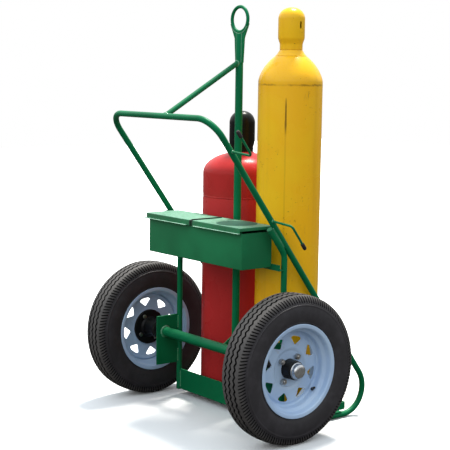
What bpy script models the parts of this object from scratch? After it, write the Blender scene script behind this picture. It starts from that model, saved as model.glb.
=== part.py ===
"""Oxy acetylene torch cart: two-wheel bent-tube cart carrying an oxygen and an acetylene cylinder.

Frame: metres, +Z up, +X to the side of the hose hooks, +Y from the push handle to the skid loops.
The origin is on the ground, under the middle of the cart's outline.
"""
import math

import bmesh
import bpy
from mathutils import Matrix, Vector

# ---------------------------------------------------------------- driving dimensions (metres)
GAP = 0.0003                 # between neighbouring solids
WELD_STEP = 0.0005           # a welded-on wall stands this far in from the sheet's edge

TYRE_R = 0.2646              # 4.80-12 tyre
TRACK = 0.8554               # between the wheels' middle planes
SIDE_X = 0.312               # middle plane of each side's bent tube and upright
TUBE_R = 0.011               # handle, rails and uprights
MAST_R = 0.014
BRACE_R = 0.0095

# heights above the ground, and distances ahead of the axle
AXLE_Z = TYRE_R
GRIP_AHEAD = -0.262
GRIP_Z = 1.1276
LEG_SLOPE = 0.7461           # the legs move ahead by this much for each metre down
GRIP_BEND_R = 0.080
LOOP_BEND_R = 0.095          # the skid loop at the front of each side
RAIL_END_AHEAD = 0.145
UPRIGHT_AHEAD = 0.0713
UPRIGHT_LAP = 0.120
UPRIGHT_BEND_R = 0.055

MAST_X = 0.042
MAST_TOP_Z = 1.4232
EYE_RING_R = 0.0450
EYE_ROD_R = 0.0062
EYE_PLATE_T = 0.006
EYE_PLATE_BOTTOM = 0.105     # below the mast's top
BRACE_TOP_Z = 1.322

PLATE_T = 0.006
PLATE_BACK = -0.0395
PLATE_Z = (0.134, 0.328)
AXLE_TUBE_R = 0.019
AXLE_BORE_R = 0.0131
SPINDLE_R = 0.0127
SPINDLE_IN = 0.240
SPINDLE_OUT = 0.4800
NUT_R = 0.0205               # across corners, as is its bore
NUT_BORE_R = 0.0151

PAN_T = 0.004
PAN_FRONT = 0.405
PAN_WING_FRONT = 0.365       # the floor rests on the rails up to here
PAN_LIP = 0.030
PAN_BACK_T = 0.006
PAN_BACK_Z = 0.106

BOX_X = 0.2812
BOX_BACK = -0.1002
BOX_FRONT = 0.0392
BOX_Z = (0.5976, 0.7442)
SHEET = 0.002
LID_X = 0.284
LID_TOP_Z = 0.7473
LID_BACK = -0.1121
LID_SKIRT = 0.021
LID_LIP = 0.009
LID_SEAM = 0.0018
LID_END_SKIRT = 0.012        # the ends of the lids are shallower than their back edge
BOX_END_DROP = 0.018         # the box's ends stop this far below its back and front
HINGE_AHEAD = 0.0440
HINGE_Z = 0.7416
KNUCKLE_R = 0.0045
PIN_R = 0.0020
PIN_BORE_R = 0.0026
KNUCKLES = 3                 # per lid; the outer ones belong to the box

HOOK_R = 0.00425
HOOK_REACH = 0.100
HOOK_TURN = 0.103
HOOK_TIP_R = 0.007
HOOK_TIP = 0.024

CHAIN_R = 0.004
CHAIN_CLEAR = 0.004          # between chain and cylinder
CHAIN_Z = 0.410
CHAIN_TAB = 0.012            # half height and width of the tabs on the legs

# wheel, measured outwards from the cart's middle
HUB_FLANGE_R = 0.0695
HUB_FLANGE = (0.4173, 0.4252)
HUB_IN = 0.3560
HUB_OUT = 0.4690
HUB_BORE_R = 0.0200
HUB_INNER_R = (0.0320, 0.0360)
HUB_OUTER_R = (0.0340, 0.0335)
BEARING_R = 0.0250
BEARING_W = 0.0160
BEARING_FIT = 0.0008         # between bearing and seat, both of them many-sided
DISC_FACE = 0.4290
DISC_T = 0.0035
LUG_CIRCLE_R = 0.0508
LUG_R = 0.0060
LUG_HEAD_R = 0.0085
LUG_HEAD = 0.0050
LUG_NUT_R = 0.0110
LUG_NUT = 0.0160
LUG_STUD = 0.0200            # the stud's end, from the disc's face
RIM_R = 0.166
RIM_SIDES = 28
TYRE_SIDES = 32

OXYGEN_X = 0.172
OXYGEN_AHEAD = 0.2068
OXYGEN_R = 0.1175
OXYGEN_SHOULDER_Z = 1.250
OXYGEN_NECK_Z = 1.3436
OXYGEN_CAP_Z = (1.3662, 1.519)
ACETYLENE_X = -0.138
ACETYLENE_AHEAD = 0.2358
ACETYLENE_R = 0.150
ACETYLENE_SHOULDER_Z = 0.895
ACETYLENE_NECK_Z = 0.973
ACETYLENE_CAP_Z = (0.9795, 1.136)
CYLINDER_SIDES = 28
SHELL_T = 0.0065
NECK_R = 0.0185
NECK_BORE_R = 0.0125
VALVE_H = 0.066
VALVE_OUTLET = 0.030          # the outlet's height on the valve, and its reach
HANDWHEEL_R = 0.0270
HANDWHEEL_H = 0.010

# ---------------------------------------------------------------- derived dimensions
LEG_DIR = Vector((0, LEG_SLOPE, -1)).normalized()
LEG_ANGLE = math.acos(LEG_DIR.y)
RAIL_Z = TUBE_R
LOOP_CORNER_AHEAD = GRIP_AHEAD + LEG_SLOPE * (GRIP_Z - RAIL_Z)
LOOP_TANGENT = LOOP_BEND_R * math.tan((math.pi - LEG_ANGLE) / 2)
LOOP_FRONT = LOOP_CORNER_AHEAD - LOOP_TANGENT + LOOP_BEND_R + TUBE_R
CART_REAR = GRIP_AHEAD - TUBE_R
AXLE_Y = -(LOOP_FRONT + CART_REAR) / 2
PAN_Z = RAIL_Z + TUBE_R + GAP
PAN_TOP = PAN_Z + PAN_T
CYLINDER_Z = PAN_TOP + GAP
MID_PLANE = TRACK / 2


def ahead(distance):
    """World Y of a place that lies this far ahead of the axle."""
    return AXLE_Y + distance


# ---------------------------------------------------------------- materials
def material(name, colour, roughness, metallic=0.0):
    mat = bpy.data.materials.new(name)
    mat.use_nodes = True
    shader = mat.node_tree.nodes["Principled BSDF"]
    shader.inputs["Base Color"].default_value = (*colour, 1)
    shader.inputs["Roughness"].default_value = roughness
    shader.inputs["Metallic"].default_value = metallic
    return mat


# ---------------------------------------------------------------- shapes
def add_object(name, data, mat, location=(0, 0, 0), parent=None):
    obj = bpy.data.objects.new(name, data)
    bpy.context.scene.collection.objects.link(obj)
    data.materials.append(mat)
    obj.location = Vector(location) - (parent.location if parent else Vector())
    obj.parent = parent
    return obj


def mesh_from(bm, name, mat, location=(0, 0, 0), parent=None, smooth=False):
    bmesh.ops.recalc_face_normals(bm, faces=bm.faces)
    mesh = bpy.data.meshes.new(name)
    bm.to_mesh(mesh)
    bm.free()
    if smooth:
        mesh.shade_smooth()
        mesh.set_sharp_from_angle(angle=math.radians(35))
    return add_object(name, mesh, mat, location, parent)


def block(name, low, high, mat, parent=None):
    """A box between two corners, with its origin at its middle."""
    low, high = Vector(low), Vector(high)
    bm = bmesh.new()
    bmesh.ops.create_cube(bm, size=1)
    bmesh.ops.scale(bm, vec=high - low, verts=bm.verts)
    return mesh_from(bm, name, mat, (low + high) / 2, parent)


def plate(name, outline, normal, low, high, mat, parent=None):
    """An outline extruded along a world axis. The outline's two numbers are the other two axes, in order."""
    axis = "XYZ".index(normal)
    bm = bmesh.new()
    corners = []
    for point in outline:
        place = list(point)
        place.insert(axis, low)
        corners.append(bm.verts.new(place))
    face = bm.faces.new(corners)
    out = bmesh.ops.extrude_face_region(bm, geom=[face])
    shift = [0, 0, 0]
    shift[axis] = high - low
    raised = [item for item in out["geom"] if isinstance(item, bmesh.types.BMVert)]
    bmesh.ops.translate(bm, vec=shift, verts=raised)
    return mesh_from(bm, name, mat, (0, 0, 0), parent)


def turned(name, profile, axis, centre, sides, mat, parent=None, ring=False, start=0.0):
    """A profile of (distance along the axis, radius) spun round. A ring's profile closes on itself."""
    bm = bmesh.new()
    verts = [bm.verts.new((radius, 0, along)) for along, radius in profile]
    pairs = list(zip(verts, verts[1:]))
    if ring:
        pairs.append((verts[-1], verts[0]))
    edges = [bm.edges.new(pair) for pair in pairs]
    bmesh.ops.spin(bm, geom=verts + edges, cent=(0, 0, 0), axis=(0, 0, 1),
                   angle=math.tau, steps=sides, use_merge=True)
    bmesh.ops.remove_doubles(bm, verts=bm.verts, dist=0.00001)
    turn = Vector((0, 0, 1)).rotation_difference(Vector(axis)).to_matrix()
    bmesh.ops.rotate(bm, cent=(0, 0, 0), matrix=turn @ Matrix.Rotation(start, 3, "Z"), verts=bm.verts)
    return mesh_from(bm, name, mat, centre, parent, smooth=True)


def rod(name, start, end, radius, sides, mat, parent=None):
    start, end = Vector(start), Vector(end)
    length = (end - start).length
    profile = [(0, 0), (0, radius), (length, radius), (length, 0)]
    return turned(name, profile, end - start, start, sides, mat, parent)


def tube(name, points, radius, mat, resolution=4):
    """A bent tube along points, as a bevelled curve."""
    curve = bpy.data.curves.new(name, "CURVE")
    curve.dimensions = "3D"
    curve.bevel_depth = radius
    curve.bevel_resolution = resolution
    curve.use_fill_caps = True
    spline = curve.splines.new("POLY")
    spline.points.add(len(points) - 1)
    for target, point in zip(spline.points, points):
        target.co = (*point, 1)
    return add_object(name, curve, mat)


def bent_path(corners, radii, steps):
    """The points of a path whose inner corners are rounded by arcs."""
    corners = [Vector(corner) for corner in corners]
    path = [corners[0]]
    for before, corner, after, radius in zip(corners, corners[1:], corners[2:], radii):
        back = (before - corner).normalized()
        onward = (after - corner).normalized()
        half = back.angle(onward) / 2
        centre = corner + (back + onward).normalized() * (radius / math.sin(half))
        first = corner + back * (radius / math.tan(half)) - centre
        last = corner + onward * (radius / math.tan(half)) - centre
        sweep = first.angle(last)
        turn_axis = first.cross(last).normalized()
        for step in range(steps + 1):
            path.append(centre + Matrix.Rotation(sweep * step / steps, 3, turn_axis) @ first)
    path.append(corners[-1])
    return path


def hide_tool(tool):
    tool.hide_render = True
    tool.display_type = "WIRE"


def carve(target, tool, operation="DIFFERENCE"):
    """Cut one solid from another, or join it on."""
    modifier = target.modifiers.new(tool.name, "BOOLEAN")
    modifier.operation = operation
    modifier.solver = "EXACT"
    modifier.object = tool
    hide_tool(tool)
    return target


def weld(target, *pieces):
    for piece in pieces:
        carve(target, piece, "UNION")
    return target


def empty(name, location):
    axis_point = bpy.data.objects.new(name, None)
    bpy.context.scene.collection.objects.link(axis_point)
    axis_point.location = location
    return axis_point


# ---------------------------------------------------------------- tube frame
def make_side_frame(paint):
    """The push handle, legs, skid loops and rails: one long bent tube."""
    def side_points(side):
        x = side * SIDE_X
        rail_end = (x, ahead(RAIL_END_AHEAD), RAIL_Z)
        loop_corner = (x, ahead(LOOP_CORNER_AHEAD), RAIL_Z)
        grip_corner = (x, ahead(GRIP_AHEAD), GRIP_Z)
        return [rail_end, loop_corner, grip_corner]

    corners = side_points(-1) + side_points(1)[::-1]
    radii = [LOOP_BEND_R, GRIP_BEND_R, GRIP_BEND_R, LOOP_BEND_R]
    tube("handle_tube", bent_path(corners, radii, 7), TUBE_R, paint, 3)


def make_uprights(paint):
    """Each upright bends back at its top and laps on the underside of the leg."""
    lap_offset = (2 * TUBE_R + GAP) / LEG_DIR.y
    lap_line = LEG_DIR.copy()
    beside_leg = Vector((0, ahead(GRIP_AHEAD), GRIP_Z - lap_offset))
    reach = (ahead(UPRIGHT_AHEAD) - beside_leg.y) / lap_line.y
    corner = beside_leg + lap_line * reach
    top = corner - lap_line * UPRIGHT_LAP
    for side, word in ((-1, "left"), (1, "right")):
        x = side * SIDE_X
        corners = [(x, ahead(UPRIGHT_AHEAD), PAN_Z), (x, corner.y, corner.z), (x, top.y, top.z)]
        tube(f"upright_{word}", bent_path(corners, [UPRIGHT_BEND_R], 5), TUBE_R, paint)


def make_mast(paint):
    mast_y = ahead(UPRIGHT_AHEAD)
    mast = rod("mast", (MAST_X, mast_y, PAN_TOP + GAP), (MAST_X, mast_y, MAST_TOP_Z), MAST_R, 20, paint)
    half = EYE_PLATE_T / 2
    bottom = MAST_TOP_Z - EYE_PLATE_BOTTOM
    slot = block("mast_slot", (MAST_X - 0.05, mast_y - half - GAP, bottom - GAP),
                 (MAST_X + 0.05, mast_y + half + GAP, MAST_TOP_Z + 0.01), paint)
    carve(mast, slot)

    ring_z = MAST_TOP_Z + EYE_ROD_R + EYE_RING_R + GAP
    rod_profile = []
    for step in range(8):
        angle = math.tau * step / 8
        rod_profile.append((EYE_ROD_R * math.cos(angle), EYE_RING_R + EYE_ROD_R * math.sin(angle)))
    turned("lifting_eye", rod_profile, (0, 1, 0), (MAST_X, mast_y, ring_z), 24, paint, ring=True)

    cradle_r = EYE_RING_R + EYE_ROD_R + GAP
    cradle = []
    for step in range(9):
        angle = math.radians(-62 + 124 * step / 8)
        cradle.append((MAST_X + cradle_r * math.sin(angle), ring_z - cradle_r * math.cos(angle)))
    right_side = [(MAST_X + 0.0520, ring_z - 0.0160), (MAST_X + 0.0270, MAST_TOP_Z - 0.0160),
                  (MAST_X + 0.0210, bottom)]
    left_side = [(2 * MAST_X - x, z) for x, z in reversed(right_side)]
    plate("eye_plate", cradle + right_side + left_side, "Y", mast_y - half, mast_y + half, paint)


def make_brace(paint):
    start = Vector((MAST_X, ahead(UPRIGHT_AHEAD), BRACE_TOP_Z))
    end = Vector((MAST_X, ahead(GRIP_AHEAD), GRIP_Z))
    brace = rod("mast_brace", start, end, BRACE_R, 14, paint)
    cope = GAP * 1.6
    mast_cut = rod("brace_mast_cut", start - Vector((0, 0, 0.05)), start + Vector((0, 0, 0.05)),
                   MAST_R + cope, 32, paint)
    grip_cut = rod("brace_grip_cut", end - Vector((0.05, 0, 0)), end + Vector((0.05, 0, 0)),
                   TUBE_R + cope, 32, paint)
    plate_cut = block("brace_plate_cut", (MAST_X - 0.06, start.y - EYE_PLATE_T, BRACE_TOP_Z - 0.05),
                      (MAST_X + 0.06, start.y + 0.06, BRACE_TOP_Z + 0.1), paint)
    for tool in (mast_cut, grip_cut, plate_cut):
        carve(brace, tool)


def make_pan(paint):
    """Floor tray under the cylinders: floor, low lips, and a back wall between the uprights."""
    wide = SIDE_X + TUBE_R
    narrow = SIDE_X - TUBE_R - 2 * GAP
    back = ahead(UPRIGHT_AHEAD) - PAN_BACK_T / 2
    wing_back = ahead(UPRIGHT_AHEAD) + TUBE_R + GAP
    wing_front, front = ahead(PAN_WING_FRONT), ahead(PAN_FRONT)
    right_edge = [(narrow, back), (narrow, wing_back), (wide, wing_back), (wide, wing_front),
                  (narrow, wing_front), (narrow, front)]
    floor_outline = right_edge + [(-x, y) for x, y in reversed(right_edge)]
    pan = plate("base_pan", floor_outline, "Z", PAN_Z, PAN_TOP, paint)
    lip_z = PAN_Z + PAN_LIP
    root_z = PAN_Z + PAN_T / 2
    edge = narrow - WELD_STEP
    lip_front = front - WELD_STEP
    side_back, side_front = wing_back + WELD_STEP, lip_front - PAN_T / 2
    walls = [block("pan_front_lip", (-edge, lip_front - PAN_T, root_z), (edge, lip_front, lip_z), paint),
             block("pan_left_lip", (-edge + WELD_STEP, side_back, root_z),
                   (-edge + PAN_T, side_front, lip_z - WELD_STEP), paint),
             block("pan_right_lip", (edge - PAN_T, side_back, root_z),
                   (edge - WELD_STEP, side_front, lip_z - WELD_STEP), paint),
             block("pan_back", (-edge, back + WELD_STEP, root_z), (edge, back + PAN_BACK_T, PAN_BACK_Z), paint)]
    weld(pan, *walls)
    mast_y = ahead(UPRIGHT_AHEAD)
    notch = rod("pan_mast_notch", (MAST_X, mast_y, PAN_TOP), (MAST_X, mast_y, PAN_BACK_Z + 0.01),
                MAST_R + GAP * 1.6, 32, paint)
    carve(pan, notch)


# ---------------------------------------------------------------- axle
def make_axle(paint, steel):
    inner_face = SIDE_X - PLATE_T / 2 - GAP
    tube_profile = [(-inner_face, AXLE_BORE_R), (-inner_face, AXLE_TUBE_R),
                    (inner_face, AXLE_TUBE_R), (inner_face, AXLE_BORE_R)]
    turned("axle_tube", tube_profile, (1, 0, 0), (0, AXLE_Y, AXLE_Z), 24, paint, ring=True)
    plate_front = ahead(UPRIGHT_AHEAD) - TUBE_R - GAP
    outline = [(ahead(PLATE_BACK), PLATE_Z[0]), (plate_front, PLATE_Z[0]),
               (plate_front, PLATE_Z[1]), (ahead(PLATE_BACK), PLATE_Z[1])]
    for side, word in ((-1, "left"), (1, "right")):
        low, high = sorted((side * (SIDE_X - PLATE_T / 2), side * (SIDE_X + PLATE_T / 2)))
        side_plate = plate(f"axle_plate_{word}", outline, "X", low, high, paint)
        hole = rod(f"axle_hole_{word}", (low - 0.01, AXLE_Y, AXLE_Z), (high + 0.01, AXLE_Y, AXLE_Z),
                   AXLE_BORE_R, 24, paint)
        carve(side_plate, hole)
        collar = SIDE_X + PLATE_T / 2 + GAP
        spindle_profile = [(SPINDLE_IN, 0), (SPINDLE_IN, SPINDLE_R), (collar, SPINDLE_R),
                           (collar, AXLE_TUBE_R), (HUB_IN - GAP, AXLE_TUBE_R), (HUB_IN - GAP, SPINDLE_R),
                           (SPINDLE_OUT, SPINDLE_R), (SPINDLE_OUT, 0)]
        turned(f"spindle_{word}", spindle_profile, (side, 0, 0), (0, AXLE_Y, AXLE_Z), 16, steel)
        nut_in = HUB_OUT - GAP
        nut_out = SPINDLE_OUT - 0.002
        nut_profile = [(nut_in, NUT_BORE_R), (nut_in, NUT_R), (nut_out, NUT_R), (nut_out, NUT_BORE_R)]
        turned(f"spindle_nut_{word}", nut_profile, (side, 0, 0), (0, AXLE_Y, AXLE_Z), 6, steel, ring=True)
    mast_back = ahead(UPRIGHT_AHEAD) - MAST_R - GAP
    gusset = [(ahead(AXLE_TUBE_R + GAP), AXLE_Z - 0.015), (mast_back, AXLE_Z - 0.040),
              (mast_back, AXLE_Z + 0.040), (ahead(AXLE_TUBE_R + GAP), AXLE_Z + 0.015)]
    plate("axle_gusset", gusset, "X", MAST_X - PLATE_T / 2, MAST_X + PLATE_T / 2, paint)


# ---------------------------------------------------------------- wheels
def tyre_profile():
    """A hollow section, open at the beads: outside from bead over tread to bead, then the inside back."""
    outside = [(0.0503, 0.1535), (0.0503, 0.1668), (0.0590, 0.1980), (0.0560, 0.2320), (0.0450, 0.2600)]
    inside = [(0.0400, 0.1535), (0.0520, 0.1980), (0.0480, 0.2400)]
    section = [(-x, r) for x, r in outside] + [(0, TYRE_R)] + outside[::-1]
    section += inside + [(0, 0.2530)] + [(-x, r) for x, r in inside[::-1]]
    return [(MID_PLANE + x, r) for x, r in section]


def rim_profile():
    """Flanged barrel with the dished disc inside it, as one closed section."""
    face = DISC_FACE - MID_PLANE
    back = face - DISC_T
    section = [(0.0560, RIM_R), (0.0508, RIM_R), (0.0508, 0.1520), (-0.0508, 0.1520), (-0.0508, RIM_R),
               (-0.0560, RIM_R), (-0.0540, 0.1488), (-0.0110, 0.1488), (-0.0020, 0.1220), (back, 0.0700),
               (back, 0.0350), (face, 0.0350), (face, 0.0700), (0.0020, 0.1220), (-0.0060, 0.1488),
               (0.0540, 0.1488)]
    return [(MID_PLANE + x, r) for x, r in section]


def spoke_window(angle):
    """Outline of one rounded triangular window between two spokes, in (Y, Z) about the axle."""
    half_outline = [(0.0850, 0.0045), (0.1105, 0.0215), (0.1160, 0.0170)]
    outline = half_outline + [(r, -t) for r, t in reversed(half_outline)]
    c, s = math.cos(angle), math.sin(angle)
    return [(AXLE_Y + r * c - t * s, AXLE_Z + r * s + t * c) for r, t in outline]


def make_wheel(side, word, first_window, finishes):
    centre = Vector((0, AXLE_Y, AXLE_Z))
    hub_empty = empty(f"wheel_axis_{word}", (side * MID_PLANE, AXLE_Y, AXLE_Z))
    outward = (side, 0, 0)
    turned(f"tyre_{word}", tyre_profile(), outward, centre, TYRE_SIDES, finishes["tyre"], hub_empty,
           ring=True)
    rim = turned(f"rim_{word}", rim_profile(), outward, centre, RIM_SIDES, finishes["rim"], hub_empty,
                 ring=True)
    near, far = sorted((side * (MID_PLANE - 0.02), side * (MID_PLANE + 0.02)))
    for index in range(8):
        outline = spoke_window(first_window + index * math.tau / 8)
        carve(rim, plate(f"window_{word}_{index}", outline, "X", near, far, finishes["rim"]))

    seat = BEARING_R + BEARING_FIT
    hub_profile = [(HUB_IN, seat), (HUB_IN, HUB_INNER_R[0]), (HUB_FLANGE[0], HUB_INNER_R[1]),
                   (HUB_FLANGE[0], HUB_FLANGE_R), (HUB_FLANGE[1], HUB_FLANGE_R),
                   (HUB_FLANGE[1], HUB_OUTER_R[0]), (HUB_OUT, HUB_OUTER_R[1]), (HUB_OUT, seat),
                   (HUB_OUT - BEARING_W - GAP, seat), (HUB_OUT - BEARING_W - GAP, HUB_BORE_R),
                   (HUB_IN + BEARING_W + GAP, HUB_BORE_R), (HUB_IN + BEARING_W + GAP, seat)]
    hub = turned(f"hub_{word}", hub_profile, outward, centre, 20, finishes["hub"], hub_empty, ring=True)

    for name, start in (("inner", HUB_IN), ("outer", HUB_OUT - BEARING_W)):
        race = [(start, SPINDLE_R + GAP), (start, BEARING_R), (start + BEARING_W - GAP, BEARING_R),
                (start + BEARING_W - GAP, SPINDLE_R + GAP)]
        turned(f"{name}_bearing_{word}", race, outward, centre, 16, finishes["steel"], hub_empty,
               ring=True)

    cap_in = HUB_OUT + GAP
    dust_cap = [(cap_in + 0.0215, 0), (cap_in + 0.0200, 0.0200), (cap_in + 0.0155, 0.0238),
                (cap_in, 0.0275), (cap_in, 0.0300), (cap_in + 0.0035, 0.0300), (cap_in + 0.0045, 0.0280),
                (cap_in + 0.0165, 0.0258), (cap_in + 0.0220, 0.0212), (cap_in + 0.0235, 0)]
    turned(f"dust_cap_{word}", dust_cap, outward, centre, 16, finishes["zinc"], hub_empty)

    for index in range(4):
        angle = first_window + math.tau * (index / 4 + 1 / 16)
        place = Vector((0, AXLE_Y + LUG_CIRCLE_R * math.cos(angle), AXLE_Z + LUG_CIRCLE_R * math.sin(angle)))

        def along(x):
            return place + Vector((side * x, 0, 0))

        stud_hole = rod(f"lug_hole_{word}_{index}", along(HUB_FLANGE[0] - 0.01), along(DISC_FACE + 0.01),
                        LUG_R + 2 * GAP, 10, finishes["steel"])
        carve(rim, stud_hole)
        carve(hub, stud_hole)
        stud = rod(f"lug_nut_{word}_{index + 1}", along(HUB_FLANGE[0] - LUG_HEAD + WELD_STEP),
                   along(DISC_FACE + LUG_STUD), LUG_R, 6, finishes["steel"], hub_empty)
        head = rod(f"lug_head_{word}_{index}", along(HUB_FLANGE[0] - LUG_HEAD), along(HUB_FLANGE[0] - GAP),
                   LUG_HEAD_R, 10, finishes["steel"])
        nut = rod(f"lug_hex_{word}_{index}", along(DISC_FACE + GAP), along(DISC_FACE + LUG_NUT),
                  LUG_NUT_R, 6, finishes["steel"])
        weld(stud, head, nut)


# ---------------------------------------------------------------- toolbox
def make_toolbox(paint, steel):
    back, front = ahead(BOX_BACK), ahead(BOX_FRONT)
    low, high = BOX_Z
    body = block("toolbox_body", (-BOX_X, back, low), (BOX_X, front, high), paint)
    inside = block("toolbox_hollow", (-BOX_X + SHEET, back + SHEET, low + SHEET),
                   (BOX_X - SHEET, front - SHEET, high + 0.01), paint)
    carve(body, inside)
    for side in (-1, 1):
        wall_low, wall_high = sorted((side * (BOX_X - SHEET - 0.001), side * (BOX_X + 0.01)))
        carve(body, block(f"box_end_cut_{side}", (wall_low, back + SHEET, high - BOX_END_DROP),
                          (wall_high, front - SHEET, high + 0.01), paint))

    bar_back = front + GAP
    bar_front = ahead(UPRIGHT_AHEAD) - TUBE_R - GAP
    bar = [(bar_back, low - 0.010), (bar_front, low - 0.010), (bar_front, low - 0.006),
           (bar_back + 0.004, low - 0.006), (bar_back + 0.004, low + 0.012), (bar_back, low + 0.012)]
    bar_end = SIDE_X + TUBE_R
    crossbar = plate("toolbox_crossbar", bar, "X", -bar_end, bar_end, paint)
    mast_y = ahead(UPRIGHT_AHEAD)
    carve(crossbar, rod("crossbar_mast_notch", (MAST_X, mast_y, low - 0.05), (MAST_X, mast_y, low + 0.05),
                        MAST_R + GAP * 1.6, 32, paint))

    lid_top, lid_under = LID_TOP_Z, LID_TOP_Z - SHEET
    lid_back = ahead(LID_BACK)
    lid_front = ahead(HINGE_AHEAD) - KNUCKLE_R - GAP
    hinge_y = ahead(HINGE_AHEAD)
    for side, word in ((-1, "left"), (1, "right")):
        axis_point = empty(f"lid_axis_{word}", (side * LID_X / 2, hinge_y, HINGE_Z))
        near, far = side * LID_SEAM, side * LID_X

        def span(a, b):
            return min(a, b), max(a, b)

        x0, x1 = span(near, far)
        lid = block(f"lid_{word}", (x0, lid_back, lid_under), (x1, lid_front, lid_top), paint, axis_point)
        skirt_z = lid_top - LID_SKIRT
        e0, e1 = span(far, far - side * SHEET)
        lip_far = side * (LID_X + (LID_LIP if side < 0 else 0.001))
        l0, l1 = span(side * 0.022, lip_far)
        weld(lid,
             block(f"lid_skirt_back_{word}", (x0, lid_back, skirt_z), (x1, lid_back + SHEET, lid_top), paint),
             block(f"lid_skirt_end_{word}", (e0, lid_back, lid_top - LID_END_SKIRT),
                   (e1, lid_front, lid_top), paint),
             block(f"lid_lip_{word}", (l0, lid_back - LID_LIP, skirt_z),
                   (l1, lid_back + SHEET, skirt_z + SHEET), paint))

        leaf_top = HINGE_Z - KNUCKLE_R - GAP
        pitch = (LID_X - 2 * LID_SEAM) / KNUCKLES
        leaf = block(f"hinge_leaf_{word}", (x0, front + GAP, HINGE_Z - 0.024),
                     (x1, front + GAP + 0.0015, leaf_top), steel)
        for index in range(KNUCKLES):
            a = side * (LID_SEAM + index * pitch) + side * GAP
            b = side * (LID_SEAM + (index + 1) * pitch) - side * GAP
            k0, k1 = span(a, b)
            barrel = rod(f"knuckle_{word}_{index}", (k0, hinge_y, HINGE_Z), (k1, hinge_y, HINGE_Z),
                         KNUCKLE_R, 10, steel)
            if index % 2 == 0:
                tab = block(f"leaf_tab_{word}_{index}", (k0, front + GAP, leaf_top - 0.004),
                            (k1, front + GAP + 0.0015, HINGE_Z), steel)
                weld(leaf, tab, barrel)
            else:
                tab = block(f"lid_tab_{word}_{index}", (k0, lid_front - 0.004, lid_under),
                            (k1, hinge_y, lid_under + SHEET), steel)
                weld(lid, tab, barrel)
        bore = rod(f"pin_bore_{word}", (x0 - 0.01, hinge_y, HINGE_Z), (x1 + 0.01, hinge_y, HINGE_Z),
                   PIN_BORE_R, 8, steel)
        carve(leaf, bore)
        carve(lid, bore)
        rod(f"hinge_pin_{word}", (x0 + GAP, hinge_y, HINGE_Z), (x1 - GAP, hinge_y, HINGE_Z), PIN_R, 8, steel)


# ---------------------------------------------------------------- hose hooks and chain
def make_hook(name, leg_z, drop, turn, paint, rubber):
    """An arm out from the right leg, then a turned-up or turned-down end with a rubber tip."""
    leg_y = ahead(GRIP_AHEAD + LEG_SLOPE * (GRIP_Z - leg_z))
    start = Vector((SIDE_X + TUBE_R + GAP, leg_y, leg_z))
    corner = start + Vector((HOOK_REACH, 0, -drop))
    end = corner + Vector(turn).normalized() * HOOK_TURN
    path = bent_path([start, corner, end], [0.014], 4)
    tube(f"hose_hook_{name}", path, HOOK_R, paint, 2)
    direction = (end - corner).normalized()
    tip_start = end - direction * HOOK_TIP
    bore = HOOK_R + GAP
    profile = [(0, bore), (0, HOOK_TIP_R - 0.001), (0.002, HOOK_TIP_R), (HOOK_TIP, HOOK_TIP_R),
               (HOOK_TIP + 0.003, HOOK_TIP_R - 0.002), (HOOK_TIP + 0.003, 0),
               (HOOK_TIP + GAP, 0), (HOOK_TIP + GAP, bore)]
    profile = profile[6:] + profile[:6]
    turned(f"hook_tip_{name}", profile, direction, tip_start, 12, rubber)


def make_chain(zinc, paint):
    """A retaining chain round the front of both cylinders, as a plain tube of the chain's width."""
    leg_y = ahead(GRIP_AHEAD + LEG_SLOPE * (GRIP_Z - CHAIN_Z))
    tab_back, tab_front = leg_y - 0.008, leg_y + 0.016

    def tab_end(side, word):
        outer = side * (SIDE_X - TUBE_R - GAP)
        tab_low, tab_high = sorted((outer, outer - side * CHAIN_TAB))
        block(f"chain_anchor_{word}", (tab_low, tab_back, CHAIN_Z - CHAIN_TAB),
              (tab_high, tab_front, CHAIN_Z + CHAIN_TAB), paint)
        return Vector(((tab_low + tab_high) / 2, tab_front + CHAIN_R, CHAIN_Z))

    def leaves_at(centre, radius, end, turn):
        """Angle about the centre at which a straight run to the end leaves the arc."""
        offset = end - centre
        reach = math.hypot(offset.x, offset.y)
        return math.atan2(offset.y, offset.x) + turn * math.acos(radius / reach)

    def arc(centre, radius, first, last, steps):
        for step in range(steps + 1):
            angle = first + (last - first) * step / steps
            yield centre + Vector((radius * math.cos(angle), radius * math.sin(angle), 0))

    right_end, left_end = tab_end(1, "right"), tab_end(-1, "left")
    oxygen = Vector((OXYGEN_X, ahead(OXYGEN_AHEAD), CHAIN_Z))
    acetylene = Vector((ACETYLENE_X, ahead(ACETYLENE_AHEAD), CHAIN_Z))
    oxygen_r = OXYGEN_R + CHAIN_R + CHAIN_CLEAR
    acetylene_r = ACETYLENE_R + CHAIN_R + CHAIN_CLEAR
    front = math.radians(84)
    path = [right_end]
    path += arc(oxygen, oxygen_r, leaves_at(oxygen, oxygen_r, right_end, 1), front, 3)
    path += arc(acetylene, acetylene_r, front, leaves_at(acetylene, acetylene_r, left_end, -1), 7)
    path.append(left_end)
    tube("retaining_chain", path, CHAIN_R, zinc, 2)


# ---------------------------------------------------------------- cylinders
def shoulder(radius, neck_radius, low, high, power, steps):
    """A rounded shoulder from full radius up to the neck, as part of a rounded-square curve."""
    share = (1 - (neck_radius / radius) ** power) ** (1 / power)
    height = (high - low) / share
    for step in range(steps + 1):
        rise = (high - low) * math.sin(math.pi / 2 * step / steps)
        yield rise + low, radius * (1 - (rise / height) ** power) ** (1 / power)


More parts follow.
